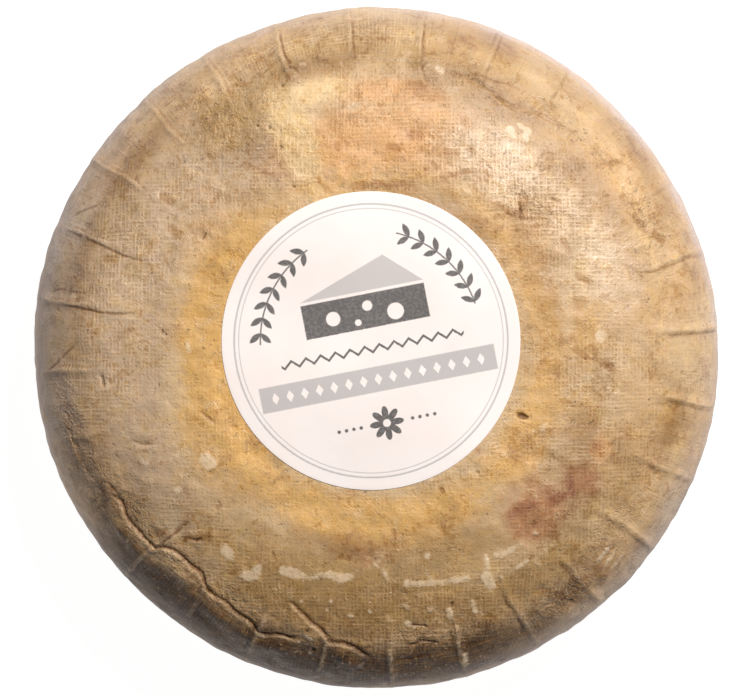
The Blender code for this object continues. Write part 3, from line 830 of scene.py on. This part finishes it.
class Wire:
    # One output socket of a material's nodes. Arithmetic on it adds Math nodes.
    def __init__(self, tree, socket):
        self.tree = tree
        self.socket = socket

    def math(self, operation, first, second=0.0):
        return addNode(self.tree, "ShaderNodeMath", {"operation": operation}, {0: first, 1: second})

    def __add__(self, other):
        return self.math("ADD", self, other)

    def __radd__(self, other):
        return self.math("ADD", other, self)

    def __sub__(self, other):
        return self.math("SUBTRACT", self, other)

    def __rsub__(self, other):
        return self.math("SUBTRACT", other, self)

    def __mul__(self, other):
        return self.math("MULTIPLY", self, other)

    def __rmul__(self, other):
        return self.math("MULTIPLY", other, self)

    def __truediv__(self, other):
        return self.math("DIVIDE", self, other)

    def __pow__(self, other):
        return self.math("POWER", self, other)

    def __abs__(self):
        return self.math("ABSOLUTE", self)

    def vector(self, operation, first, second):
        return addNode(self.tree, "ShaderNodeVectorMath", {"operation": operation}, {0: first, 1: second})

    def output(self, index):
        # Another output of the node that this one comes from.
        return Wire(self.tree, self.socket.node.outputs[index])


def addNode(tree, kind, settings, sockets, output=0):
    # Any node: its settings first, then the values or links of its sockets.
    node = tree.nodes.new(kind)
    for name, value in settings.items():
        setattr(node, name, value)
    for name, value in sockets.items():
        if isinstance(value, Wire):
            tree.links.new(value.socket, node.inputs[name])
        else:
            node.inputs[name].default_value = value
    return Wire(tree, node.outputs[output])


def largest(first, *others):
    # The greatest of some values, as the union of masks.
    for other in others:
        first = first.math("MAXIMUM", first, other)
    return first


def softEdge(value, low, high):
    # smoothStep, as a node.
    return addNode(value.tree, "ShaderNodeMapRange", {"interpolation_type": "SMOOTHSTEP"},
                   {0: value, 1: low, 2: high})


def mixColour(factor, first, second):
    # The first colour at 0 and the second at 1.
    return addNode(factor.tree, "ShaderNodeMix", {"data_type": "RGBA", "clamp_factor": True},
                   {0: factor, 6: first, 7: second}, 2)


def mixVector(factor, first, second):
    # The same for two vectors.
    return addNode(factor.tree, "ShaderNodeMix", {"data_type": "VECTOR", "clamp_factor": True},
                   {0: factor, 4: first, 5: second}, 1)


def tinted(factor, colour, tint):
    # The colour times the tint, as far as the factor says.
    return addNode(colour.tree, "ShaderNodeMix", {"data_type": "RGBA", "blend_type": "MULTIPLY"},
                   {0: factor, 6: colour, 7: tint}, 2)


def greyOf(value):
    # A value as a colour with its three parts alike.
    return addNode(value.tree, "ShaderNodeCombineColor", {}, {0: value, 1: value, 2: value})


def vectorOf(tree, x, y, z):
    # Three values or wires as one vector.
    return addNode(tree, "ShaderNodeCombineXYZ", {}, {0: x, 1: y, 2: z})


def partsOf(vector):
    # A vector's x, y and z.
    x = addNode(vector.tree, "ShaderNodeSeparateXYZ", {}, {0: vector})
    return x, x.output(1), x.output(2)


def uvOf(tree, name):
    # The piece's UV map of that name.
    return addNode(tree, "ShaderNodeUVMap", {"uv_map": name}, {})


def noiseAt(vector, scale, detail=3.0, roughness=0.5, distortion=0.0):
    # Noise round 0.5, with lumps about 1 / scale long.
    return addNode(vector.tree, "ShaderNodeTexNoise", {"noise_dimensions": "3D"},
                   {"Vector": vector, "Scale": scale, "Detail": detail, "Roughness": roughness,
                    "Distortion": distortion})


def noiseShift(vector, scale, reach):
    # A noise of three values about zero, to shift a place by up to half the reach.
    sockets = {"Vector": vector, "Scale": scale, "Detail": 3.0}
    noise = addNode(vector.tree, "ShaderNodeTexNoise", {}, sockets, 1)
    level = vector.vector("SUBTRACT", noise, (0.5, 0.5, 0.5))
    return vector.vector("MULTIPLY", level, (reach, reach, reach))


def newMaterial(name):
    # A material and its Principled shader.
    material = bpy.data.materials.new(name)
    material.use_nodes = True
    return material, material.node_tree.nodes["Principled BSDF"]


def dress(shader, colour, height):
    # A colour and a relief in metres into the shader, the relief through a Bump node.
    bump = addNode(colour.tree, "ShaderNodeBump", {}, {"Strength": 1.0, "Distance": 1.0, "Height": height})
    colour.tree.links.new(colour.socket, shader.inputs["Base Color"])
    colour.tree.links.new(bump.socket, shader.inputs["Normal"])


lightLevel = 1.25              # light on the flat top, where 1 shows a white surface as full white


def seenAs(red, green, blue):
    # The surface colour that shows as these screen values under the studio light.
    shown = [((c / 255.0 + 0.055) / 1.055) ** 2.4 for c in (red, green, blue)]
    return tuple(c / lightLevel for c in shown) + (1.0,)


cloth = {
    "pitch": 0.00131,          # thread to thread across
    "rowPitch": 0.00138,       # and along
    "strays": (0.0020, 0.0010, 0.0009),     # how far the threads stray, slowly, one by one, finely
    "threadToThread": 760.0,   # scales of the noise across the threads, along them and round the side
    "alongThread": 110.0,
    "roundSide": 88.5,
    "faintest": 0.20,          # strength of a thread where the print is worn
}


def weaveAt(uv, coords, onBand, around):
    # Height of the cloth's print: the higher of two sets of threads, 0 in the holes to 1 on a thread.
    # A thread is a cosine over its pitch, shifted and worn by noises that are drawn out along it.
    u, v = partsOf(uv)[:2]
    x, y, z = partsOf(coords)
    drift = noiseAt(coords, 60.0, 1.0)
    lead = (noiseAt(coords, 38.0, 2.0) - 0.5) * 2.6
    loose = noiseAt(coords, 340.0, 1.0)
    between, along, roundSide = cloth["threadToThread"], cloth["alongThread"], cloth["roundSide"]
    slowly, oneByOne, finely = cloth["strays"]
    upright = vectorOf(uv.tree, 0.0, 0.0, v * along)
    upright = coords.vector("ADD", coords.vector("MULTIPLY", around, (roundSide, roundSide, 0.0)), upright)
    threads = []
    for place, pitch, turn in ((u, cloth["pitch"], 1.0), (v, cloth["rowPitch"], -1.0)):
        stretched = vectorOf(uv.tree, place * between, x * along, (y + z) * along)
        if turn > 0:
            stretched = mixVector(onBand, stretched, upright)
        uneven = noiseAt(stretched, 1.0, 3.0, 0.6)
        phase = place + (drift - 0.5) * slowly + (uneven - 0.5) * oneByOne + (loose - 0.5) * finely
        wave = phase.math("COSINE", phase * (2.0 * math.pi / pitch)) * 0.5 + 0.5
        strength = softEdge(uneven + lead * turn * 0.10, 0.28, 0.68)
        threads.append(wave * (strength * (1.0 - cloth["faintest"]) + cloth["faintest"]))
    return largest(*threads)


# The rind's looks.
rind = {
    "noises": {                # scale, detail, roughness and distortion
        "broad": (28.0, 3.0, 0.55, 0.3),
        "blotch": (75.0, 5.0, 0.68, 0.4),
        "patch": (170.0, 4.0, 0.70),
        "small": (420.0, 3.0, 0.65),
        "fine": (1500.0, 2.0, 0.6),
    },
    "shifted": {               # the same, read at another place
        "pale": (130.0, 4.0, 0.74, 0.3),
        "hue": (150.0, 4.0, 0.78),
        "crumb": (560.0, 3.0, 0.6),
        "hole": (700.0, 2.0, 0.6),
        "wrinkle": (250.0, 2.0, 0.5, 1.2),
    },
    "colours": {               # on screen, red, green and blue
        "tan": (209, 170, 125),
        "sand": (223, 189, 147),
        "brown": (176, 136, 94),
        "golden": (226, 176, 106),
        "orange": (228, 174, 118),
        "cream": (242, 206, 154),
        "pinkishAndSheen": (240, 207, 171),
        "taupe": (202, 172, 141),
        "olive": (179, 142, 93),
        "dark": (103, 70, 34),
        "reddish": (182, 126, 86),
        "flake": (240, 212, 176),
        "pit": (88, 60, 40),
        "stain": (142, 80, 60),
        "filmAndSheen": (232, 216, 216),
    },
    "tints": {                 # what the colour under them is multiplied by
        "yellower": (1.025, 1.0, 0.86),
        "pinker": (0.985, 1.0, 1.02),
        "dab": (0.74, 0.65, 0.53),
        "shaded": (0.72, 0.66, 0.60),
        "lit": (1.24, 1.25, 1.26),
        "mauve": (0.79, 0.84, 1.06),
        "spot": (0.69, 0.57, 0.42),
        "hole": (0.52, 0.43, 0.31),
        "darkHole": (0.45, 0.36, 0.28),
        "thread": (1.21, 1.22, 1.22),
        "dent": (0.70, 0.58, 0.46),
        "wrinkle": (0.58, 0.46, 0.36),
        "ribShade": (0.58, 0.48, 0.38),
        "crease": (0.54, 0.42, 0.32),
        "pitShade": (0.27, 0.19, 0.13),
    },
    "bumps": {                 # heights in metres
        "weave": 0.00006,
        "small": 0.00022,
        "fine": 0.00004,
        "patch": 0.0005,
        "roughPatch": 0.0016,
        "flake": 0.00005,
        "scrap": 0.00006,
        "pit": -0.00030,
        "dot": -0.00010,
        "crease": -0.00020,
        "dent": -0.00022,
        "scab": 0.00016,
        "streak": 0.00018,
        "spot": -0.00010,
        "dab": -0.00008,
        "rib": 0.00010,
        "wrinkle": 0.00030,
    },
}


def rindMaterial():
    # The rind, from broad to small: each layer mixes in a colour or multiplies by a tint through a mask
    # made of the painted fields and noises, and what stands up or lies deep also goes into the bump.
    material, shader = newMaterial("rind")
    tree = material.node_tree
    coords = addNode(tree, "ShaderNodeTexCoord", {}, {}, "Object")
    shifted = addNode(tree, "ShaderNodeMapping", {}, {"Vector": coords, "Location": (0.31, 0.17, 0.53)})

    def field(name):
        return addNode(tree, "ShaderNodeAttribute", {"attribute_name": name}, {}, "Fac")

    def over(mask, name):
        return mixColour(mask, colour, seenAs(*rind["colours"][name]))

    def times(mask, name):
        return tinted(mask, colour, rind["tints"][name] + (1.0,))

    broad, blotch, patch, small, fine = [noiseAt(coords, *look) for look in rind["noises"].values()]
    pale, hue, crumb, worn, wrinkled = [noiseAt(shifted, *look) for look in rind["shifted"].values()]
    ragged = (small - 0.5) * 2.4 + (fine - 0.5) * 1.4
    mottled = (blotch - 0.5) * 1.0 + (patch - 0.5) * 0.9 + (small - 0.5) * 0.5

    # The cloth lies flat over the top, goes round the side in a band and lies flat again beneath.
    share = field("share")
    above = field("above")
    onBand = softEdge(field("fromFold") + (patch - 0.5) * 6.0, -0.2, 0.2)
    onUnder = (1 - above) * (1 - softEdge(share, 0.80, 0.81))
    uv = mixVector(onBand, uvOf(tree, "cloth"), uvOf(tree, "band"))
    uv = mixVector(onUnder, uv, uvOf(tree, "under"))
    around = coords.vector("MULTIPLY", coords, (1.0, 1.0, 0.0))
    around = coords.vector("NORMALIZE", around, (0.0, 0.0, 0.0))
    weave = weaveAt(uv, coords, onBand, around)
    nearRim = softEdge(share, 0.92, 0.975) * above
    crisp = field("crisp")
    flake = softEdge(field("flake") + (small - 0.5) * 2.0 + (patch - 0.5) * 3.0, -0.5, 0.6)
    showing = softEdge(broad * 0.3 + blotch * 0.4 + pale * 0.3 + crisp * 0.12, 0.42, 0.58) * 0.86 + 0.14
    showing = showing * (1 - nearRim * 0.35) * (1 - flake * 0.7) * (1 - field("plain") * 0.75)
    hole = (1 - weave) * showing * (0.35 + softEdge(worn, 0.36, 0.62) * 0.65)
    thread = softEdge(weave, 0.60, 1.0) * showing * (0.15 + softEdge(crumb, 0.42, 0.62) * 0.85)

    # Broad fields, each with a ragged edge.
    ground = softEdge(broad, 0.36, 0.64)
    colour = seenAs(*rind["colours"]["tan"])
    colour = over(ground, "sand")
    # The pinkish field is partly a painted highlight where the key light's sheen falls.
    for name in ("taupe", "olive", "golden", "orange", "cream", "pinkishAndSheen", "reddish"):
        colour = over(softEdge(field(name) + mottled * 0.6, 0.10, 0.78) * 0.92, name)

    # Mottling: smudges, paler crusts, and a drift between yellow and pink at every size.
    colour = over(softEdge(blotch * 0.5 + patch * 0.5, 0.51, 0.64) * 0.55, "brown")
    colour = over(softEdge(pale, 0.54, 0.70) * 0.50, "sand")
    colour = times(softEdge(hue, 0.46, 0.66), "yellower")
    colour = times(1 - softEdge(hue, 0.34, 0.54), "pinker")
    dab = softEdge(small * 0.55 + blotch * 0.25 + hue * 0.20, 0.52, 0.62)
    colour = times(dab * 0.85, "dab")
    tone = 0.453 + (patch * 0.52 + small * 0.40 + pale * 0.30) * 0.95
    colour = tinted(1.0, colour, greyOf(tone))
    colour = times(softEdge(field("shaded") + mottled * 1.1, 0.05, 0.95), "shaded")
    colour = times(softEdge(field("lit") + mottled * 1.1, 0.05, 0.95), "lit")
    colour = times(softEdge(field("mauve") + mottled * 0.3, 0.05, 0.90), "mauve")
    spot = softEdge(field("spot") + ragged * 0.7 + (patch - 0.5) * 2.0, -0.8, 0.6)
    colour = times(spot * 0.80, "spot")
    stain = softEdge(field("stain") + ragged * 1.1 + (patch - 0.5) * 3.0, -1.3, 1.0)
    colour = over(stain * (0.60 - weave * 0.34), "stain")
    # The dark band outside the deep folds, with its own grain: partly the rind's darker colour, partly
    # painted shade away from the key light.
    dark = softEdge(field("dark") + mottled * 0.7 + (crumb - 0.5) * 0.7, 0.04, 1.02) * 0.94
    colour = over(dark, "dark")
    colour = tinted(dark, colour, greyOf(small * 2.2 + crumb * 2.0 - 1.08))

    # Streaks round the side.
    onSide = softEdge(share, 0.88, 0.94)
    level = vectorOf(tree, 0.0, 0.0, partsOf(uvOf(tree, "band"))[1] * 620.0)
    streaky = coords.vector("ADD", coords.vector("MULTIPLY", around, (10.5, 10.5, 0.0)), level)
    streak = noiseAt(streaky, 1.0, 3.0, 0.65)
    colour = tinted(onSide, colour, greyOf(0.80 + streak * 0.4))

    # Dents and scabs of a few millimetres in the cells of a warped net, wrinkles, scraps and specks.
    rough = field("rough")
    warped = coords.vector("ADD", coords, noiseShift(coords, 260.0, 0.006))
    cell = addNode(tree, "ShaderNodeTexVoronoi", {"feature": "F1"}, {"Vector": warped, "Scale": 115.0})
    pick = addNode(tree, "ShaderNodeSeparateColor", {}, {0: cell.output(1)})
    dent = (1 - softEdge(cell, 0.05, 0.20)) * softEdge(pick, 0.55, 0.75)
    scab = (1 - softEdge(cell, 0.08, 0.26)) * softEdge(pick.output(1), 0.62, 0.80)
    scab = scab * (1 - softEdge(pick, 0.5, 0.55))
    fromWrinkle = abs(wrinkled - 0.5)
    wrinkling = largest(rough * 0.8, softEdge(pale, 0.52, 0.66) * 0.35) * softEdge(blotch, 0.38, 0.56)
    wrinkle = (1 - softEdge(fromWrinkle, 0.0, 0.035)) * wrinkling
    crumbly = largest(softEdge(patch, 0.42, 0.60), rough, onSide * 0.8)
    scrap = softEdge(crumb * 0.7 + fine * 0.3 + rough * 0.03, 0.59, 0.67)
    dot = 1 - softEdge(small * 0.65 + fine * 0.35 - rough * 0.05, 0.32, 0.40)
    colour = times(hole * (0.60 + crisp * 0.38), "hole")
    colour = times(hole * dark, "darkHole")
    colour = times(thread * (0.30 + crisp * 0.30 + dark * 0.8), "thread")
    colour = over(scrap * (crumbly * 0.40 + dark * 0.25), "flake")
    colour = over(scab * 0.30, "flake")
    # darker, browner dents: partly their colour, partly painted shade in the hollow
    colour = times(dent * 0.60, "dent")
    # painted shade along the wrinkles' valleys
    colour = times(wrinkle * 0.75, "wrinkle")
    # dark specks in small sunken dots: partly dark crumbs, partly painted shade in the hollows
    colour = over(dot * crumbly * 0.62, "pit")
    colour = over(flake * (0.46 + softEdge(small, 0.38, 0.60) * 0.30), "flake")
    bead = softEdge(field("bead") + ragged * 0.3, -0.35, 0.35)
    colour = over(bead * 0.72, "flake")

    # Creases and ribs: a dark line of painted shade, with a painted highlight on a crease's lip; painted
    # shade beside each rib and a pale line on its crest.
    nearLine = 1 - softEdge(field("lineNear"), 1.5, 3.0)
    side = field("lineSide") + ragged * 0.20
    lineDark = field("lineDark") * softEdge(small + field("lineDark") * 0.35, 0.42, 0.74)
    crease = (1 - softEdge(abs(side), 0.0, 0.85)) * nearLine * lineDark
    edge = (1 - softEdge(abs(side - 1.00), 0.1, 0.8)) * nearLine * lineDark
    ribSide = field("ribSide") + ragged * 0.25 + (patch - 0.5) * 1.6
    ribShows = softEdge(field("ribShows"), 0.1, 0.7) * (0.35 + softEdge(crumb, 0.36, 0.60) * 0.65)
    ribLine = (1 - softEdge(abs(ribSide), 0.25, 0.95)) * ribShows
    ribShade = (1 - softEdge(abs(ribSide + 1.4), 0.1, 0.9)) * ribShows
    colour = times(ribShade * 0.75, "ribShade")
    # painted highlight on the crease's lip (edge); the pale line on a rib's crest is partly pale crust,
    # partly painted highlight
    colour = over(edge * 0.15 + ribLine * (0.10 + dark * 0.34), "flake")
    # painted shade in the crease's groove
    colour = times(crease * 0.95, "crease")
    pit = softEdge(field("pit") + ragged * 0.4, -0.35, 0.35)
    colour = times(pit * 0.88, "pitShade")

    # A pale film towards the widest line, thickest on it: partly dusty bloom, partly a painted sheen where
    # the rim reflects the white floor.
    filmAndSheen = softEdge(share + (blotch - 0.5) * 0.05, 0.925, 0.985) * 0.16 + softEdge(share, 0.972, 1.0) * 0.20
    filmAndSheen = filmAndSheen + softEdge(field("hazeAndSheen") + mottled * 0.4, 0.10, 0.95) * 0.26
    filmAndSheen = filmAndSheen * (1 - dark * 0.62) * (0.35 + softEdge(blotch, 0.36, 0.58) * 0.45 + streak * 0.5)
    colour = over(filmAndSheen, "filmAndSheen")

    matt = 0.50 - 0.12 * softEdge(pale, 0.5, 0.7) + hole * 0.16 + filmAndSheen * 0.40 - field("pinkishAndSheen") * 0.14
    tree.links.new(matt.socket, shader.inputs["Roughness"])
    shader.inputs["Specular IOR Level"].default_value = 0.38

    relief = {
        "weave": weave * showing, "small": small - 0.5, "fine": fine - 0.5, "patch": patch - 0.5,
        "roughPatch": (patch - 0.5) * rough, "flake": flake, "scrap": scrap * crumbly, "pit": pit,
        "dot": dot, "crease": crease, "dent": dent, "scab": scab, "streak": (streak - 0.5) * onSide,
        "spot": spot, "dab": dab, "rib": ribLine, "wrinkle": softEdge(fromWrinkle, 0.0, 0.12) * wrinkling,
    }
    dress(shader, colour, sum(shape * rind["bumps"][name] for name, shape in relief.items()))
    print(f"rind: material of {len(tree.nodes)} nodes")
    return material


paper = {                      # on screen, red, green and blue
    "sheet": (261, 250, 243),
    "warm": (260, 245, 237),
    "ink": (106, 101, 98),
    "band": (208, 199, 195),
}
design = {                     # places on the label, where its radius is 1
    "edge": 0.004,             # softness of the printed edges
    "rings": ((0.915, 0.006), (0.885, 0.003)),     # radius and half width
    "wreathRadius": 0.74,
    "wreathFromTop": 0.92,     # radians from the top to the middle of each half, and half its length
    "wreathHalf": 0.50,
    "leavesRound": 44,
    "leafOffset": 0.035,
    "stemHalf": 0.005,
    "leafLean": 48.0,
    "leafHalfLong": 0.050,
    "leafHalfWide": 0.020,
    "wedgeHalf": 0.42,
    "wedgeUp": 0.20,
    "wedgeHalfHeight": 0.115,
    "roofUp": 0.335,
    "roofSlopes": (0.36, 0.92),
    "holes": ((-0.22, 0.19, 0.048), (0.02, 0.235, 0.034), (0.20, 0.165, 0.056), (-0.06, 0.135, 0.022)),
    "bandUp": -0.26,
    "bandHalf": (0.80, 0.085),
    "lozengeHalf": (0.026, 0.040),
    "lozengesHalf": 0.72,
    "step": 0.05,              # half the distance between lozenges, dots and the zigzag's points
    "zigzagUp": -0.055,
    "zigzagHalf": 0.62,
    "zigzagSlope": 0.9,
    "zigzagHalfWidth": 0.010,
    "flowerUp": -0.56,
    "flowerRadius": 0.115,
    "flowerEye": 0.026,
    "petals": 8,
    "dotRadius": 0.012,
    "dotsFrom": 0.26,
    "dotsHalf": 0.10,
}


def paperMaterial():
    # White paper with a printed design. Each motif is a mask: a formula that is below 0 inside it,
    # through a soft edge.
    material, shader = newMaterial("paper")
    tree = material.node_tree
    coords = addNode(tree, "ShaderNodeTexCoord", {}, {}, "Object")
    fibres = noiseAt(coords, 1100.0, 3.0, 0.6)
    cloudy = noiseAt(coords, 45.0, 3.0, 0.5)
    p, q = [part + (fibres - 0.5) * 0.006 for part in partsOf(uvOf(tree, "print"))[:2]]

    def inside(value):
        return 1 - softEdge(value, -design["edge"], design["edge"])

    def fromPoint(x, y):
        return ((p - x) * (p - x) + (q - y) * (q - y)) ** 0.5

    def box(x, y, halfX, halfY):
        return inside(largest(abs(p - x) - halfX, abs(q - y) - halfY))

    def leaf(along, across, lean):
        # A pointed oval turned by its lean: |across| stays under a parabola of the distance along.
        turn = math.radians(lean)
        far = along * math.cos(turn) + across * math.sin(turn)
        wide = across * math.cos(turn) - along * math.sin(turn)
        long = design["leafHalfLong"]
        return inside(abs(wide) - design["leafHalfWide"] * (1 - far * far / (long * long)))

    out = (p * p + q * q) ** 0.5
    rings = largest(*[inside(abs(out - radius) - half) for radius, half in design["rings"]])

    # A wreath open at the top and the bottom: two rows of leaves on a stem.
    leaves, radius, aside = design["leavesRound"], design["wreathRadius"], design["leafOffset"]
    bearing = p.math("ARCTAN2", q, p)
    place = p.math("FRACT", bearing * (leaves / (2.0 * math.pi)) + 40.0) - 0.5
    place = place * (2.0 * math.pi * radius / leaves)
    wreath = largest(leaf(place, out - (radius + aside), design["leafLean"]),
                     leaf(place, out - (radius - aside), -design["leafLean"]),
                     inside(abs(out - radius) - design["stemHalf"]))
    fromMiddle = abs(q.math("ARCTAN2", abs(p), q) - design["wreathFromTop"])
    wreath = wreath * inside(fromMiddle - design["wreathHalf"])

    # A wedge of cheese: a long side with holes, and its top as a triangle.
    half, aboveFront = design["wedgeHalf"], q - design["roofUp"]
    front = box(0.0, design["wedgeUp"], half, design["wedgeHalfHeight"])
    gentle, steep = design["roofSlopes"]
    roof = inside(largest(design["roofUp"] - q, aboveFront - (p + half) * gentle,
                          aboveFront - (half - p) * steep))
    holes = largest(*[inside(fromPoint(x, y) - radius) for x, y, radius in design["holes"]])
    wedge = front * (1 - holes)

    # A band with lozenges, a zigzag over it and a flower with dots under it.
    step = design["step"]
    toNext = p.math("PINGPONG", p + 4.0, step)     # 0 to step and back along the label
    band = box(0.0, design["bandUp"], *design["bandHalf"])
    halfLong, halfHigh = design["lozengeHalf"]
    lozenges = inside(toNext / halfLong + abs(q - design["bandUp"]) / halfHigh - 1.0)
    lozenges = lozenges * inside(abs(p) - design["lozengesHalf"])
    zigzagAt = (toNext - step / 2.0) * design["zigzagSlope"] + design["zigzagUp"]
    zigzag = inside(abs(q - zigzagAt) - design["zigzagHalfWidth"])
    zigzag = zigzag * inside(abs(p) - design["zigzagHalf"])
    low = q - design["flowerUp"]
    fromFlower = fromPoint(0.0, design["flowerUp"])
    petal = abs(p.math("COSINE", p.math("ARCTAN2", low, p) * (design["petals"] / 2.0)))
    flower = inside(fromFlower - design["flowerRadius"] * (0.45 + 0.55 * petal))
    flower = flower * (1 - inside(fromFlower - design["flowerEye"]))
    fromDot = ((toNext - step / 2.0) ** 2.0 + low * low) ** 0.5
    dots = inside(fromDot - design["dotRadius"])
    dots = dots * inside(abs(abs(p) - design["dotsFrom"]) - design["dotsHalf"])

    bandColour = seenAs(*paper["band"])
    colour = mixColour(softEdge(cloudy, 0.35, 0.70), seenAs(*paper["sheet"]), seenAs(*paper["warm"]))
    colour = mixColour(largest(rings, band * (1 - lozenges)), colour, bandColour)
    colour = mixColour(roof * 0.9, colour, bandColour)
    ink = largest(wedge, zigzag, flower, dots, wreath)
    colour = mixColour(ink * (0.90 + 0.10 * softEdge(fibres, 0.3, 0.6)), colour, seenAs(*paper["ink"]))
    shader.inputs["Roughness"].default_value = 0.62
    shader.inputs["Specular IOR Level"].default_value = 0.35
    dress(shader, colour, fibres * 0.00002 + cloudy * 0.00025)
    print(f"paper: material of {len(tree.nodes)} nodes")
    return material


studio = {
    "keyAngle": 58.0,          # degrees from the photograph's right, anticlockwise
    "keyElevation": 52.0,
    "keyDistance": 2.2,
    "keySize": 0.65,
    "keyPower": 74.0,
    "cameraDistance": 1.70,
    "sensor": 36.0,
    "floorGlow": 0.98,
    "airGlow": 0.04,
    "floorWhite": 0.12,
    "floorHalf": 4.0,
}


def floorMaterial():
    # A pale floor that gives its own white and takes only a faint shadow.
    material, shader = newMaterial("studioFloor")
    white = studio["floorWhite"]
    shader.inputs["Base Color"].default_value = (white, white, white, 1.0)
    shader.inputs["Roughness"].default_value = 0.9
    shader.inputs["Specular IOR Level"].default_value = 0.0
    shader.inputs["Emission Color"].default_value = (1.0, 1.0, 1.0, 1.0)
    shader.inputs["Emission Strength"].default_value = studio["floorGlow"]
    return material


def makeStudio():
    # Floor, even air, one large round lamp, and a camera above the wheel that frames the photograph.
    scene = bpy.context.scene
    scene.view_settings.view_transform = "Standard"
    world = bpy.data.worlds.new("studioAir")
    world.use_nodes = True
    air = world.node_tree.nodes["Background"]
    air.inputs["Color"].default_value = (1.0, 1.0, 1.0, 1.0)
    air.inputs["Strength"].default_value = studio["airGlow"]
    scene.world = world

    half = studio["floorHalf"]
    corners = [(-half, -half, 0.0), (half, -half, 0.0), (half, half, 0.0), (-half, half, 0.0)]
    mesh = bpy.data.meshes.new("floor")
    mesh.from_pydata(corners, [], [(0, 1, 2, 3)])
    mesh.materials.append(floorMaterial())
    floor = addObject("floor", mesh)

    lamp = bpy.data.lights.new("key", "AREA")
    lamp.shape = "DISK"
    lamp.size = studio["keySize"]
    lamp.energy = studio["keyPower"]
    key = addObject("key", lamp)
    side, rise = math.radians(studio["keyAngle"]), math.radians(studio["keyElevation"])
    away, up = studio["keyDistance"] * math.cos(rise), studio["keyDistance"] * math.sin(rise)
    key.location = (away * math.cos(side), away * math.sin(side), up + wheel["height"])
    key.rotation_euler = (math.pi / 2.0 - rise, 0.0, side + math.pi / 2.0)

    step = wheel["radius"] / photo["wheelPixels"]     # metres to a pixel
    lens = bpy.data.cameras.new("camera")
    lens.sensor_width = studio["sensor"]
    lens.lens = studio["sensor"] * studio["cameraDistance"] / (photo["width"] * step)
    lens.clip_end = 20.0
    camera = addObject("camera", lens)
    camera.location = ((photo["width"] / 2.0 - photo["wheelX"]) * step,
                       (photo["wheelY"] - photo["height"] / 2.0) * step,
                       wheel["waist"] + studio["cameraDistance"])
    scene.camera = camera
    print("studio: floor, key light and camera")


cheese, shift = makeWheel()
cheese.data.materials.append(rindMaterial())
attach(cheese, "root")
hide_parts("wheel")

sheet = makeLabel(shift)
sheet.data.materials.append(paperMaterial())
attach(sheet, "root")
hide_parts("label")

makeStudio()
